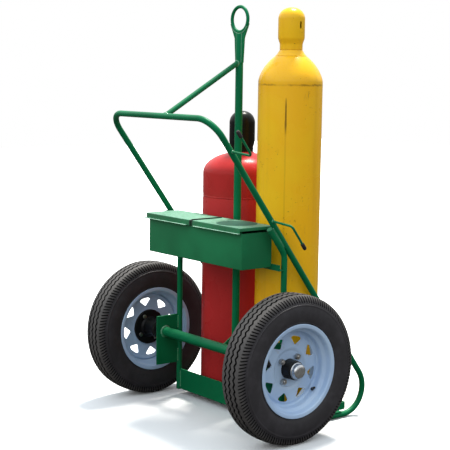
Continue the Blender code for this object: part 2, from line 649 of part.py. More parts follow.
def cap_profile(low, high, neck_r, body_r, waist, dome, wall):
    """A hollow valve cap, open below: straight skirt, body, dome; then the inside back down."""
    arc = []
    steps = 5
    for step in range(steps + 1):
        angle = math.pi / 2 * step / steps
        arc.append((high - dome + dome * math.sin(angle), body_r * math.cos(angle)))
    outside = [(low, neck_r), (low + waist, neck_r), (low + waist + 0.018, body_r)] + arc
    outside[-1] = (high, 0)
    inside = [(low, neck_r - wall), (low + waist, neck_r - wall), (low + waist + 0.018, body_r - wall),
              (high - dome, body_r - wall), (high - dome * 0.35, body_r * 0.68 - wall / 2), (high - wall, 0)]
    return inside[::-1] + outside


def make_cylinder(gas, x, y_ahead, radius, shoulder_z, neck_z, power, neck_r, cap, finishes):
    base = Vector((x, ahead(y_ahead), 0))
    lift = empty(f"{gas}_axis", base)
    foot = CYLINDER_Z
    body = [(foot, 0), (foot, radius * 0.88), (foot + 0.018, radius)]
    body += list(shoulder(radius, neck_r + 0.001, shoulder_z, neck_z, power, 6))
    ring_top = cap["low"] - GAP
    collar_r = cap["neck_r"] + 0.0005
    if "ring" in finishes:
        ring_low, ring_bore = neck_z + GAP, NECK_R + 0.0005
        ring = [(ring_low, ring_bore), (ring_low, neck_r), (ring_top, collar_r), (ring_top, ring_bore)]
        turned(f"{gas}_neck_ring", ring, (0, 0, 1), base, 24, finishes["ring"], lift, ring=True)
        body.append((neck_z, NECK_R))
    else:
        body += [(ring_top, collar_r), (ring_top, NECK_R)]
    neck_top = neck_z + 0.020
    bore_end = neck_z - 0.012
    hollow = [(neck_top, NECK_BORE_R), (bore_end, NECK_BORE_R), (bore_end - 0.004, neck_r * 0.7),
              ((shoulder_z + neck_z) / 2, radius * 0.80), (shoulder_z, radius - SHELL_T),
              (foot + 0.030, radius - SHELL_T), (foot + 0.012, 0)]
    body += [(neck_top, NECK_R)] + hollow
    turned(f"{gas}_cylinder", body, (0, 0, 1), base, CYLINDER_SIDES, finishes["shell"], lift)

    valve_low = neck_top + GAP
    stem_low = neck_z - 0.008
    valve_top = valve_low + VALVE_H
    valve_profile = [(stem_low, 0), (stem_low, NECK_BORE_R - 0.001), (valve_low, NECK_BORE_R - 0.001),
                     (valve_low, 0.0150), (valve_top - 0.016, 0.0160), (valve_top - 0.012, 0.0110),
                     (valve_top, 0.0110), (valve_top, 0)]
    valve = turned(f"{gas}_valve", valve_profile, (0, 0, 1), base, 14, finishes["brass"], lift)
    outlet_z = valve_low + VALVE_OUTLET
    outlet = rod(f"{gas}_outlet", base + Vector((0, 0, outlet_z)), base + Vector((0, -VALVE_OUTLET, outlet_z)),
                 0.0100, 12, finishes["brass"])
    weld(valve, outlet)
    wheel_low = valve_top + GAP
    wheel_top = wheel_low + HANDWHEEL_H
    wheel_profile = [(wheel_low, 0), (wheel_low, HANDWHEEL_R - 0.003), (wheel_low + 0.003, HANDWHEEL_R),
                     (wheel_top - 0.002, HANDWHEEL_R), (wheel_top, HANDWHEEL_R - 0.004), (wheel_top, 0)]
    turned(f"{gas}_handwheel", wheel_profile, (0, 0, 1), base, 12, finishes["handwheel"], lift)

    section = cap_profile(cap["low"], cap["high"], cap["neck_r"], cap["body_r"], cap["waist"], cap["dome"],
                          cap["wall"])
    guard = turned(f"{gas}_cap", section, (0, 0, 1), base, 18, finishes["cap"], lift)
    slot_z = cap["slot_z"]
    slot = block(f"{gas}_cap_slot", (x - 0.08, base.y - 0.003, slot_z - 0.012),
                 (x + 0.08, base.y + 0.003, slot_z + 0.012), finishes["cap"])
    slot.rotation_euler.z = cap["slot_turn"]
    carve(guard, slot)


# ---------------------------------------------------------------- the whole cart
def main():
    for obj in list(bpy.data.objects):
        bpy.data.objects.remove(obj, do_unlink=True)

    green = material("green_paint", (0.010, 0.165, 0.070), 0.38)
    green_sheet = material("green_sheet_paint", (0.022, 0.170, 0.065), 0.42)
    steel = material("zinc_plated_steel", (0.55, 0.55, 0.56), 0.34, 1.0)
    zinc = material("bright_zinc", (0.66, 0.66, 0.67), 0.24, 1.0)
    hub_black = material("black_hub_paint", (0.012, 0.012, 0.014), 0.45)
    rim_white = material("white_rim_enamel", (0.60, 0.62, 0.70), 0.35)
    tyre_rubber = material("tyre_rubber", (0.022, 0.021, 0.022), 0.82)
    black_rubber = material("black_rubber", (0.015, 0.015, 0.016), 0.70)
    yellow = material("yellow_enamel", (0.76, 0.44, 0.015), 0.34)
    red = material("red_enamel", (0.40, 0.025, 0.028), 0.38)
    black_cap = material("black_cap_enamel", (0.012, 0.013, 0.016), 0.36)
    brass = material("brass", (0.62, 0.42, 0.16), 0.35, 1.0)

    make_side_frame(green)
    make_uprights(green)
    make_mast(green)
    make_brace(green)
    make_pan(green)
    make_axle(green, steel)
    make_toolbox(green_sheet, steel)

    wheel_finishes = {"tyre": tyre_rubber, "rim": rim_white, "hub": hub_black, "steel": steel, "zinc": zinc}
    make_wheel(1, "right", math.radians(30), wheel_finishes)
    make_wheel(-1, "left", math.radians(8), wheel_finishes)

    make_hook("upper", 1.0149, 0.0070, -LEG_DIR, green, black_rubber)
    make_hook("lower", 0.7681, 0.0070, LEG_DIR, green, black_rubber)
    make_chain(zinc, green)

    oxygen_cap = {"low": OXYGEN_CAP_Z[0], "high": OXYGEN_CAP_Z[1], "neck_r": 0.0415, "body_r": 0.0485,
                  "waist": 0.022, "dome": 0.042, "wall": 0.003, "slot_z": 1.455, "slot_turn": math.radians(3)}
    make_cylinder("oxygen", OXYGEN_X, OXYGEN_AHEAD, OXYGEN_R, OXYGEN_SHOULDER_Z, OXYGEN_NECK_Z, 1.6, 0.0565,
                  oxygen_cap, {"shell": yellow, "ring": yellow, "brass": brass, "handwheel": hub_black,
                               "cap": yellow})
    acetylene_cap = {"low": ACETYLENE_CAP_Z[0], "high": ACETYLENE_CAP_Z[1], "neck_r": 0.0440,
                     "body_r": 0.0495, "waist": 0.016, "dome": 0.046, "wall": 0.003, "slot_z": 1.062,
                     "slot_turn": math.radians(40)}
    make_cylinder("acetylene", ACETYLENE_X, ACETYLENE_AHEAD, ACETYLENE_R, ACETYLENE_SHOULDER_Z,
                  ACETYLENE_NECK_Z, 2.0, 0.0520, acetylene_cap,
                  {"shell": red, "brass": brass, "handwheel": hub_black, "cap": black_cap})


if __name__ == "__main__":
    main()
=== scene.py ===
"""Oxy acetylene torch cart: the finished surfaces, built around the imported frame. Metres, +Z up."""

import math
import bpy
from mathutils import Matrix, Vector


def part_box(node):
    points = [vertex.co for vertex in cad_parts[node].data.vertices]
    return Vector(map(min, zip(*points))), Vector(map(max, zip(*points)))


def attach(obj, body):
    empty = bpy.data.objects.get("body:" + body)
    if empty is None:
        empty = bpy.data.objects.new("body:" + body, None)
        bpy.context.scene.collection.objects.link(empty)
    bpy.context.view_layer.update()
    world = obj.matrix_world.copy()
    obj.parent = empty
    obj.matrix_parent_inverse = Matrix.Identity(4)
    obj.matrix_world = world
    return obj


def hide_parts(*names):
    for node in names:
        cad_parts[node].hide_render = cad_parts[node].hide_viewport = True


bl_info = {
    "name": "Torch Cart",
    "version": (1, 0, 0),
    "blender": (4, 5, 0),
    "location": "View3D > Sidebar > Torch Cart",
    "description": "Builds the looks of a two-wheel oxy acetylene torch cart around its frame",
    "category": "Object",
}

import bmesh
import bpy
import numpy as np
from bpy.props import FloatProperty, FloatVectorProperty, IntProperty, PointerProperty
from mathutils import Matrix, Vector

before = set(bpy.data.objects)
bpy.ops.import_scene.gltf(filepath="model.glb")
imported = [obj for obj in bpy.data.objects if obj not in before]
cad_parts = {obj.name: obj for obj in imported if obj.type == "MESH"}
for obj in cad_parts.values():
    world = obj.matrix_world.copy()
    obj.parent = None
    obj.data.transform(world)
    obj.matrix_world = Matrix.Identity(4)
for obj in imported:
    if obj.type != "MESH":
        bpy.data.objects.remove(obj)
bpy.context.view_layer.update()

GAP = 0.0003
X, Y, Z = Vector((1, 0, 0)), Vector((0, 1, 0)), Vector((0, 0, 1))
SIDES = ((-1, "left"), (1, "right"))


# ---------------------------------------------------------------- places read from the frame
def low(node):
    return Vector(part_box(node)[0])


def high(node):
    return Vector(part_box(node)[1])


def middle(node):
    return (low(node) + high(node)) / 2


def half_size(node):
    return (high(node) - low(node)) / 2


AXLE = Vector((0, middle("axle_tube").y, middle("axle_tube").z))
MAST = middle("mast")
MID_PLANE = middle("tyre_right").x
TYRE_R = half_size("tyre_right").z
SIDE_X = middle("upright_right").x
TUBE_R = half_size("upright_right").x
GRIP_Y = low("handle_tube").y + TUBE_R
GRIP_Z = high("handle_tube").z - TUBE_R
YELLOW_SEAM, RED_SEAM = 1.2404, 0.808       # heights of the seam rings round the two cylinders


# ---------------------------------------------------------------- settings
class TubeSettings(bpy.types.PropertyGroup):
    """The bent tubes and their welds."""
    radius: FloatProperty(name="Tube radius", description="Radius of the handle, rails and uprights",
                          default=0.011, unit="LENGTH")
    grip_bend: FloatProperty(name="Grip bend", description="Bend radius at the ends of the grip",
                             default=0.080, unit="LENGTH")
    loop_bend: FloatProperty(name="Loop bend", description="Bend radius of the skid loops",
                             default=0.095, unit="LENGTH")
    upright_bend: FloatProperty(name="Upright bend", description="Bend radius at the top of the uprights",
                                default=0.055, unit="LENGTH")
    rail_end: FloatProperty(name="Rail end", description="How far ahead of the axle the rails begin",
                            default=0.145, unit="LENGTH")
    leg_slope: FloatProperty(name="Leg slope", description="How far the legs run forward for each metre down",
                             default=0.7461)
    brace_radius: FloatProperty(name="Brace radius", description="Radius of the brace from mast to grip",
                                default=0.0095, unit="LENGTH")
    brace_height: FloatProperty(name="Brace height", description="Where the brace meets the mast",
                                default=1.322, unit="LENGTH")
    weld_radius: FloatProperty(name="Weld size", description="Radius of a weld bead", default=0.0027,
                               unit="LENGTH")


class WheelSettings(bpy.types.PropertyGroup):
    """The tyres, rims and hubs."""
    pitches: IntProperty(name="Tread pitches", description="Tread blocks round the tyre", default=69)
    groove_depth: FloatProperty(name="Groove depth", description="Depth of the tread grooves",
                                default=0.0085, unit="LENGTH")
    groove_width: FloatProperty(name="Groove width", description="Width of a tread groove",
                                default=0.0072, unit="LENGTH")
    groove_place: FloatProperty(name="Groove place", description="From the middle groove to the outer ones",
                                default=0.0230, unit="LENGTH")
    zigzag: FloatProperty(name="Zigzag", description="How far the grooves wander sideways",
                          default=0.0036, unit="LENGTH")
    slot_depth: FloatProperty(name="Slot depth", description="Depth of the slots in the shoulders",
                              default=0.0042, unit="LENGTH")
    windows: IntProperty(name="Rim windows", description="Triangular windows in the rim's disc", default=8)
    right_turn: FloatProperty(name="Right wheel turn", description="Angle of the right rim's first window",
                              default=math.radians(30), subtype="ANGLE")
    left_turn: FloatProperty(name="Left wheel turn", description="Angle of the left rim's first window",
                             default=math.radians(8), subtype="ANGLE")


class FinishSettings(bpy.types.PropertyGroup):
    """Colours of the paints."""
    green: FloatVectorProperty(name="Green", description="Frame paint", subtype="COLOR", size=3,
                               default=(0.004, 0.150, 0.056))
    green_sheet: FloatVectorProperty(name="Sheet green", description="Toolbox paint", subtype="COLOR", size=3,
                                     default=(0.012, 0.165, 0.062))
    yellow: FloatVectorProperty(name="Yellow", description="Oxygen cylinder paint", subtype="COLOR", size=3,
                                default=(0.98, 0.525, 0.011))
    red: FloatVectorProperty(name="Red", description="Acetylene cylinder paint", subtype="COLOR", size=3,
                             default=(0.48, 0.028, 0.028))
    # The rims are white enamel; the blue in this colour is a painted sky-shade tint.
    rim: FloatVectorProperty(name="Rim white", description="Wheel enamel", subtype="COLOR", size=3,
                             default=(0.43, 0.58, 0.80))
    rubber: FloatVectorProperty(name="Rubber", description="Tyre rubber", subtype="COLOR", size=3,
                                default=(0.020, 0.018, 0.021))


class StageSettings(bpy.types.PropertyGroup):
    """The camera and the light."""
    azimuth: FloatProperty(name="Azimuth", description="Direction the camera looks in, from +Y towards -X",
                           default=math.radians(51.60), subtype="ANGLE")
    tilt: FloatProperty(name="Tilt", description="How far the camera looks down",
                        default=math.radians(7.231), subtype="ANGLE")
    roll: FloatProperty(name="Roll", description="How far the camera is turned about its own axis",
                        default=math.radians(0.785), subtype="ANGLE")
    place: FloatVectorProperty(name="Camera", description="Where the camera stands", subtype="TRANSLATION",
                               size=3, default=(3.5013, -2.8345, 1.2848))
    lens: FloatProperty(name="Lens", description="Focal length in millimetres on a 36 mm sensor",
                        default=96.64)
    sun: FloatProperty(name="Sun", description="Strength of the sun", default=5.6)
    sun_from: FloatVectorProperty(name="Sun from", description="Direction of the sun, from the cart",
                                  subtype="DIRECTION", size=3, default=(-0.20, 0.36, 0.91))
    sky: FloatProperty(name="Sky", description="Strength of the sky light", default=1.0)


SETTINGS = {"cart_tubes": TubeSettings, "cart_wheels": WheelSettings, "cart_finish": FinishSettings,
            "cart_stage": StageSettings}
EFFECTS = {}    # shared node groups by name, filled by build_effects
FINISH = {}     # materials by name, filled by build_finishes


# ---------------------------------------------------------------- node helpers
def socket_of(node):
    """The first output that carries a value."""
    return next(out for out in node.outputs if out.enabled)


def wire(tree, socket, value):
    if isinstance(value, bpy.types.Node):
        value = socket_of(value)
    if isinstance(value, bpy.types.NodeSocket):
        tree.links.new(value, socket)
    else:
        socket.default_value = value


def maths(tree, operation, first, second=0.0, third=0.0, clamp=False):
    made = tree.nodes.new("ShaderNodeMath")
    made.operation = operation
    made.use_clamp = clamp
    for socket, value in zip(made.inputs, (first, second, third)):
        wire(tree, socket, value)
    return made


def mix(tree, factor, first, second, blend="MIX"):
    made = tree.nodes.new("ShaderNodeMix")
    made.data_type = "RGBA"
    made.blend_type = blend
    made.clamp_factor = True
    colour_inputs = [socket for socket in made.inputs if socket.type == "RGBA"]
    wire(tree, made.inputs[0], factor)
    wire(tree, colour_inputs[0], first)
    wire(tree, colour_inputs[1], second)
    return made.outputs[2]


def noise(tree, coords, scale, detail=3.0, roughness=0.5, distortion=0.0):
    made = tree.nodes.new("ShaderNodeTexNoise")
    wire(tree, made.inputs["Vector"], coords)
    wire(tree, made.inputs["Scale"], scale)
    made.inputs["Detail"].default_value = detail
    made.inputs["Roughness"].default_value = roughness
    made.inputs["Distortion"].default_value = distortion
    return made.outputs["Fac"]


def ramp(tree, value, start, end, low_out=0.0, high_out=1.0):
    made = tree.nodes.new("ShaderNodeMapRange")
    made.interpolation_type = "SMOOTHSTEP"
    for name, number in (("Value", value), ("From Min", start), ("From Max", end), ("To Min", low_out),
                         ("To Max", high_out)):
        wire(tree, made.inputs[name], number)
    return made.outputs["Result"]


def coordinates(tree):
    return tree.nodes.new("ShaderNodeTexCoord").outputs["Object"]


def stretch(tree, coords, scale):
    made = tree.nodes.new("ShaderNodeMapping")
    wire(tree, made.inputs["Vector"], coords)
    made.inputs["Scale"].default_value = scale
    return made.outputs["Vector"]


def new_group(name, inputs, outputs):
    """A node group with named sockets. inputs are (name, default), outputs are (name, kind)."""
    group = bpy.data.node_groups.new(name, "ShaderNodeTree")
    for label, default in inputs:
        kind = "NodeSocketColor" if isinstance(default, tuple) else "NodeSocketFloat"
        group.interface.new_socket(name=label, in_out="INPUT", socket_type=kind).default_value = default
    for label, kind in outputs:
        group.interface.new_socket(name=label, in_out="OUTPUT", socket_type=kind)
    return group, group.nodes.new("NodeGroupInput").outputs, group.nodes.new("NodeGroupOutput").inputs


def place_group(tree, group, **values):
    """Put a group into a material. An input called First Second is given as First_Second."""
    made = tree.nodes.new("ShaderNodeGroup")
    made.node_tree = group
    for label, value in values.items():
        wire(tree, made.inputs[label.replace("_", " ")], value)
    return made.outputs


# ---------------------------------------------------------------- shared surface effects
def paint_weathering():
    """Sprayed paint: colour drift, edges chipped to a second colour, and dust on what faces up."""
    group, given, out = new_group("Paint weathering",
                                  [("Paint", (0.5, 0.5, 0.5, 1)), ("Under", (0.2, 0.2, 0.2, 1)),
                                   ("Dust", (0.6, 0.58, 0.5, 1)), ("Drift", 0.15), ("Chips", 0.3),
                                   ("Dust Amount", 0.2), ("Scale", 1.0)],
                                  [("Colour", "NodeSocketColor"), ("Wear", "NodeSocketFloat"),
                                   ("Roughness", "NodeSocketFloat"), ("Height", "NodeSocketFloat")])
    coords = coordinates(group)
    geometry = group.nodes.new("ShaderNodeNewGeometry")
    broad = noise(group, coords, maths(group, "MULTIPLY", given["Scale"], 6.0), 3.0)
    fine = noise(group, coords, maths(group, "MULTIPLY", given["Scale"], 90.0), 4.0, 0.6)
    cloudy = mix(group, ramp(group, broad, 0.35, 0.68), (0.25, 0.25, 0.25, 1), (1.0, 1.0, 1.0, 1))
    drifted = mix(group, given["Drift"], given["Paint"], cloudy, "OVERLAY")
    edge = ramp(group, geometry.outputs["Pointiness"], 0.53, 0.60)
    speck = ramp(group, fine, 0.66, 0.72)
    patch = ramp(group, broad, 0.52, 0.66)
    chipped = maths(group, "MULTIPLY", edge, ramp(group, fine, 0.42, 0.60))
    spotted = maths(group, "MULTIPLY", maths(group, "MULTIPLY", speck, patch), 0.6)
    wear = maths(group, "MULTIPLY", maths(group, "MAXIMUM", chipped, spotted), given["Chips"], clamp=True)
    worn = mix(group, wear, drifted, given["Under"])
    # Where a finish asks for it, this upward-facing layer also carries a painted sky reflection or highlight.
    facing = group.nodes.new("ShaderNodeSeparateXYZ")
    wire(group, facing.inputs[0], geometry.outputs["Normal"])
    settled = maths(group, "MULTIPLY", ramp(group, facing.outputs["Z"], 0.2, 0.95),
                    ramp(group, fine, 0.30, 0.70, 0.4, 1.0))
    dusted = maths(group, "MULTIPLY", settled, given["Dust Amount"], clamp=True)
    wire(group, out["Colour"], mix(group, dusted, worn, given["Dust"]))
    wire(group, out["Wear"], wear)
    rough = maths(group, "ADD", maths(group, "MULTIPLY", broad, 0.16), maths(group, "MULTIPLY", dusted, 0.4))
    wire(group, out["Roughness"], maths(group, "ADD", rough, maths(group, "MULTIPLY", wear, 0.25)))
    wire(group, out["Height"], maths(group, "SUBTRACT", maths(group, "MULTIPLY", fine, 0.25), wear))
    return group


def scuffs():
    """Long rubbed marks and small knocks, as a mask and a height."""
    group, given, out = new_group("Scuffs and knocks", [("Amount", 0.5), ("Scale", 1.0), ("Upright", 0.12)],
                                  [("Mask", "NodeSocketFloat"), ("Height", "NodeSocketFloat")])
    coords = coordinates(group)
    squeeze = group.nodes.new("ShaderNodeCombineXYZ")
    wire(group, squeeze.inputs[0], given["Scale"])
    wire(group, squeeze.inputs[1], given["Scale"])
    wire(group, squeeze.inputs[2], maths(group, "MULTIPLY", given["Scale"], given["Upright"]))
    scaled = group.nodes.new("ShaderNodeVectorMath")
    scaled.operation = "MULTIPLY"
    wire(group, scaled.inputs[0], coords)
    wire(group, scaled.inputs[1], squeeze)
    lines = noise(group, scaled, 46.0, 5.0, 0.7)
    where = noise(group, coords, 7.0, 2.0)
    knocks = noise(group, coords, 120.0, 2.0)
    rubbed = maths(group, "MULTIPLY", ramp(group, lines, 0.62, 0.70), ramp(group, where, 0.50, 0.64))
    knocked = maths(group, "MULTIPLY", ramp(group, knocks, 0.70, 0.76), ramp(group, where, 0.42, 0.60))
    mask = maths(group, "MULTIPLY", maths(group, "MAXIMUM", rubbed, knocked), given["Amount"], clamp=True)
    wire(group, out["Mask"], mask)
    wire(group, out["Height"], maths(group, "MULTIPLY", mask, -1.0))
    return group


def orange_peel():
    """The fine waviness of sprayed paint and of moulded rubber."""
    group, given, out = new_group("Orange peel", [("Grain", 500.0), ("Wave", 30.0), ("Wave Share", 0.4)],
                                  [("Height", "NodeSocketFloat")])
    coords = coordinates(group)
    grain = noise(group, coords, given["Grain"], 2.0)
    wave = maths(group, "MULTIPLY", noise(group, coords, given["Wave"], 2.0), given["Wave Share"])
    wire(group, out["Height"], maths(group, "ADD", grain, wave))
    return group


def build_effects():
    EFFECTS["weather"] = paint_weathering()
    EFFECTS["scuffs"] = scuffs()
    EFFECTS["peel"] = orange_peel()


# ---------------------------------------------------------------- materials
def new_material(name, roughness, metallic=0.0, coat=0.0, specular=0.5):
    mat = bpy.data.materials.new(name)
    mat.use_nodes = True
    tree = mat.node_tree
    shader = tree.nodes["Principled BSDF"]
    shader.inputs["Roughness"].default_value = roughness
    shader.inputs["Metallic"].default_value = metallic
    shader.inputs["Coat Weight"].default_value = coat
    shader.inputs["Coat Roughness"].default_value = 0.10
    shader.inputs["Specular IOR Level"].default_value = specular
    return mat, tree, shader


def add_bump(tree, shader, height, distance, strength=1.0):
    bump = tree.nodes.new("ShaderNodeBump")
    bump.inputs["Distance"].default_value = distance
    bump.inputs["Strength"].default_value = strength
    wire(tree, bump.inputs["Height"], height)
    wire(tree, shader.inputs["Normal"], bump.outputs["Normal"])


def colour4(colour):
    return (*colour, 1.0)


def scaled_colour(colour, share):
    return colour4([channel * share for channel in colour])


# dust sets the upward-facing layer; for the lid and the lip it is a painted sky reflection and highlight.
def painted(name, colour, under, drift, chips, dust, roughness, coat, scale=1.0, specular=0.32,
            dust_and_sheen_colour=(0.55, 0.60, 0.50), tint=(1.0, 1.0, 1.0)):
    mat, tree, shader = new_material(name, roughness, coat=coat, specular=specular)
    shader.inputs["Specular Tint"].default_value = colour4(tint)
    worn = place_group(tree, EFFECTS["weather"], Paint=colour4(colour), Under=colour4(under), Drift=drift,
                       Chips=chips, Dust_Amount=dust, Scale=scale, Dust=colour4(dust_and_sheen_colour))
    peel = place_group(tree, EFFECTS["peel"], Grain=420.0, Wave=26.0, Wave_Share=0.5)
    wire(tree, shader.inputs["Base Color"], worn["Colour"])
    wire(tree, shader.inputs["Roughness"], maths(tree, "ADD", worn["Roughness"], roughness - 0.08))
    height = maths(tree, "ADD", maths(tree, "MULTIPLY", peel["Height"], 0.35), worn["Height"])
    add_bump(tree, shader, height, 0.0004, 0.5)
    return mat


def metal(name, colour, roughness, brushed=0.3):
    mat, tree, shader = new_material(name, roughness, metallic=1.0)
    coords = coordinates(tree)
    cloud = noise(tree, coords, 60.0, 4.0, 0.6)
    grain = noise(tree, coords, 600.0, 3.0, 0.6)
    spangle = mix(tree, ramp(tree, cloud, 0.30, 0.72), scaled_colour(colour, 0.72), colour4(colour))
    wire(tree, shader.inputs["Base Color"], spangle)
    wire(tree, shader.inputs["Roughness"],
         maths(tree, "ADD", maths(tree, "MULTIPLY", cloud, brushed), roughness - brushed / 2))
    add_bump(tree, shader, grain, 0.0002, 0.4)
    return mat


def cylinder_enamel(name, colour, dark, light, seam_height, seam_darkening, scuff_amount, coat, specular, scratch):
    """Cylinder paint: drift, rubbed bands, a darker band along the seam, painted shade towards the foot, a
    painted highlight in the light colour on the upward faces, and a long vertical scratch at one place.
    """
    mat, tree, shader = new_material(name, 0.34, coat=coat, specular=specular)
    # The light colour, laid on the upward faces as dust, is a painted highlight on the shoulder.
    worn = place_group(tree, EFFECTS["weather"], Paint=colour4(colour), Under=colour4(dark), Drift=0.08,
                       Chips=0.55, Dust_Amount=0.05, Scale=1.0, Dust=colour4(light))
    marks = place_group(tree, EFFECTS["scuffs"], Amount=scuff_amount, Scale=1.0, Upright=0.16)
    knocks = place_group(tree, EFFECTS["scuffs"], Amount=scuff_amount, Scale=0.7, Upright=3.2)
    coords = coordinates(tree)
    split = tree.nodes.new("ShaderNodeSeparateXYZ")
    wire(tree, split.inputs[0], coords)
    # A darker ragged band along the seam.
    ragged = maths(tree, "MULTIPLY", noise(tree, coords, 55.0, 4.0, 0.7), 0.010)
    level = maths(tree, "ADD", maths(tree, "SUBTRACT", split.outputs["Z"], seam_height), ragged)
    off_seam = maths(tree, "ABSOLUTE", maths(tree, "SUBTRACT", level, 0.005))
    band = ramp(tree, off_seam, 0.0016, 0.0048, 1.0, 0.0)
    blots = ramp(tree, noise(tree, coords, 26.0, 3.0), 0.36, 0.62, 0.25 * seam_darkening, seam_darkening)
    band = maths(tree, "MULTIPLY", band, blots)
    streaks = noise(tree, stretch(tree, coords, (30.0, 30.0, 0.9)), 1.0, 3.0, 0.5)
    streaked = mix(tree, ramp(tree, streaks, 0.56, 0.80, 0.0, 0.14), worn["Colour"], colour4(dark))
    # Painted shade: the paint darkens towards the cylinder's foot.
    above_foot = maths(tree, "ADD", split.outputs["Z"], maths(tree, "MULTIPLY", ragged, 6.0))
    foot = ramp(tree, above_foot, 0.02, 0.26, 0.40, 0.0)
    shaded = mix(tree, foot, streaked, scaled_colour(dark, 0.5))
    banded = mix(tree, band, shaded, scaled_colour(dark, 0.45))
    rubbed = mix(tree, marks["Mask"], banded, colour4(dark))
    scuffed = mix(tree, knocks["Mask"], rubbed, scaled_colour(dark, 0.6))
    spread = tree.nodes.new("ShaderNodeVectorMath")
    spread.operation = "DISTANCE"
    wire(tree, spread.inputs[0], stretch(tree, coords, (1.0, 1.0, 0.0)))
    spread.inputs[1].default_value = (scratch[0], scratch[1], 0.0)
    wander = maths(tree, "MULTIPLY", noise(tree, coords, 18.0, 4.0, 0.7), 0.0040)
    line = ramp(tree, maths(tree, "ADD", spread.outputs["Value"], wander), 0.0042, 0.0058, 1.0, 0.0)
    depth = ramp(tree, maths(tree, "ABSOLUTE", maths(tree, "SUBTRACT", split.outputs["Z"], scratch[2])),
                 0.030, 0.080, 0.75, 0.14)
    below = ramp(tree, split.outputs["Z"], scratch[2] + 0.06, scratch[2] + 0.07, 1.0, 0.0)
    line = maths(tree, "MULTIPLY", line, maths(tree, "MULTIPLY", depth, below))
    wire(tree, shader.inputs["Base Color"], mix(tree, line, scuffed, scaled_colour(dark, 0.3)))
    duller = maths(tree, "MULTIPLY", marks["Mask"], 0.3)
    even = maths(tree, "ADD", worn["Roughness"], 0.20)
    wire(tree, shader.inputs["Roughness"], maths(tree, "ADD", even, duller))
    peel = place_group(tree, EFFECTS["peel"], Grain=340.0, Wave=17.0, Wave_Share=1.2)
    height = maths(tree, "ADD", maths(tree, "MULTIPLY", peel["Height"], 0.45), marks["Height"])
    add_bump(tree, shader, height, 0.0005, 0.5)
    return mat


def tyre_rubber(colour):
    """Tyre rubber: dusty tread, darker sidewall, moulded grain."""
    mat, tree, shader = new_material("Tyre rubber", 0.62, specular=0.45)
    coords = coordinates(tree)
    split = tree.nodes.new("ShaderNodeSeparateXYZ")
    wire(tree, split.inputs[0], coords)
    squares = [maths(tree, "MULTIPLY", split.outputs[axis], split.outputs[axis]) for axis in "YZ"]
    reach = maths(tree, "SQRT", maths(tree, "ADD", *squares))
    tread = ramp(tree, reach, TYRE_R - 0.0270, TYRE_R - 0.0050)
    blot = noise(tree, coords, 24.0, 4.0, 0.6)
    grain = noise(tree, coords, 900.0, 2.0)
    dusty = maths(tree, "MULTIPLY", tread, ramp(tree, blot, 0.25, 0.75, 0.55, 1.0))
    pale = scaled_colour(colour, 2.0)
    wall = mix(tree, ramp(tree, blot, 0.40, 0.72, 0.2, 0.8), colour4(colour), pale)
    wire(tree, shader.inputs["Base Color"], mix(tree, dusty, wall, (0.085, 0.078, 0.074, 1)))
    wire(tree, shader.inputs["Roughness"], maths(tree, "ADD", maths(tree, "MULTIPLY", dusty, 0.22), 0.56))
    rings = maths(tree, "SINE", maths(tree, "MULTIPLY", reach, 2600.0))
    height = maths(tree, "ADD", maths(tree, "MULTIPLY", grain, 0.6), maths(tree, "MULTIPLY", rings, 0.12))
    add_bump(tree, shader, height, 0.0003, 0.5)
    return mat


def plain_rubber(name, colour, specular):
    mat, tree, shader = new_material(name, 0.60, specular=specular)
    coords = coordinates(tree)
    grain = noise(tree, coords, 700.0, 3.0)
    patches = ramp(tree, noise(tree, coords, 60.0), 0.3, 0.7)
    wire(tree, shader.inputs["Base Color"],
         mix(tree, patches, scaled_colour(colour, 0.6), scaled_colour(colour, 1.5)))
    add_bump(tree, shader, grain, 0.0002, 0.5)
    return mat


def lid_paint(colour, spot, radius):
    """Sheet paint with a dull, darker round patch on the right lid, mint on the upward faces as a painted sky
    reflection, and painted shade along the seam between the lids and along the hinge edge.
    """
    # The heavy mint dust on the lid's upward faces is a painted sky reflection on the lid tops.
    mat = painted("Lid paint", colour, (0.06, 0.07, 0.06), 0.20, 0.18, 0.72, 0.36, 0.05, specular=0.4,
                  dust_and_sheen_colour=(0.21, 0.42, 0.32))
    tree = mat.node_tree
    shader = tree.nodes["Principled BSDF"]
    clean = shader.inputs["Base Color"].links[0].from_socket
    rough = shader.inputs["Roughness"].links[0].from_socket
    # A dull, darker round patch on the right lid.
    away = tree.nodes.new("ShaderNodeVectorMath")
    away.operation = "DISTANCE"
    wire(tree, away.inputs[0], coordinates(tree))
    away.inputs[1].default_value = spot
    ragged = maths(tree, "MULTIPLY", noise(tree, coordinates(tree), 40.0, 3.0), 0.006)
    mark = ramp(tree, maths(tree, "ADD", away.outputs["Value"], ragged), radius, radius + 0.004, 0.88, 0.0)
    split = tree.nodes.new("ShaderNodeSeparateXYZ")
    wire(tree, split.inputs[0], coordinates(tree))
    # Painted shade: a dark band along the seam between the two lids.
    seam = ramp(tree, maths(tree, "ABSOLUTE", split.outputs["X"]), 0.0085, 0.0110, 0.92, 0.0)
    # Painted shadow of the hinge along the lids' back edge, strongest within 0.14 of the middle.
    edge = high("lid_right").y - 0.009
    hinge_shadow = maths(tree, "MULTIPLY", ramp(tree, split.outputs["Y"], edge - 0.014, edge - 0.009, 0.0, 0.9),
                  ramp(tree, maths(tree, "ABSOLUTE", split.outputs["X"]), 0.14, 0.16, 1.0, 0.1))
    seam = maths(tree, "MAXIMUM", seam, hinge_shadow)
    marked = mix(tree, mark, clean, (0.010, 0.070, 0.045, 1))
    # The seam and hinge masks lay a painted shade colour over the paint.
    wire(tree, shader.inputs["Base Color"], mix(tree, seam, marked, (0.003, 0.022, 0.012, 1)))
    wire(tree, shader.inputs["Roughness"], maths(tree, "ADD", rough, maths(tree, "MULTIPLY", mark, 0.45)))
    return mat


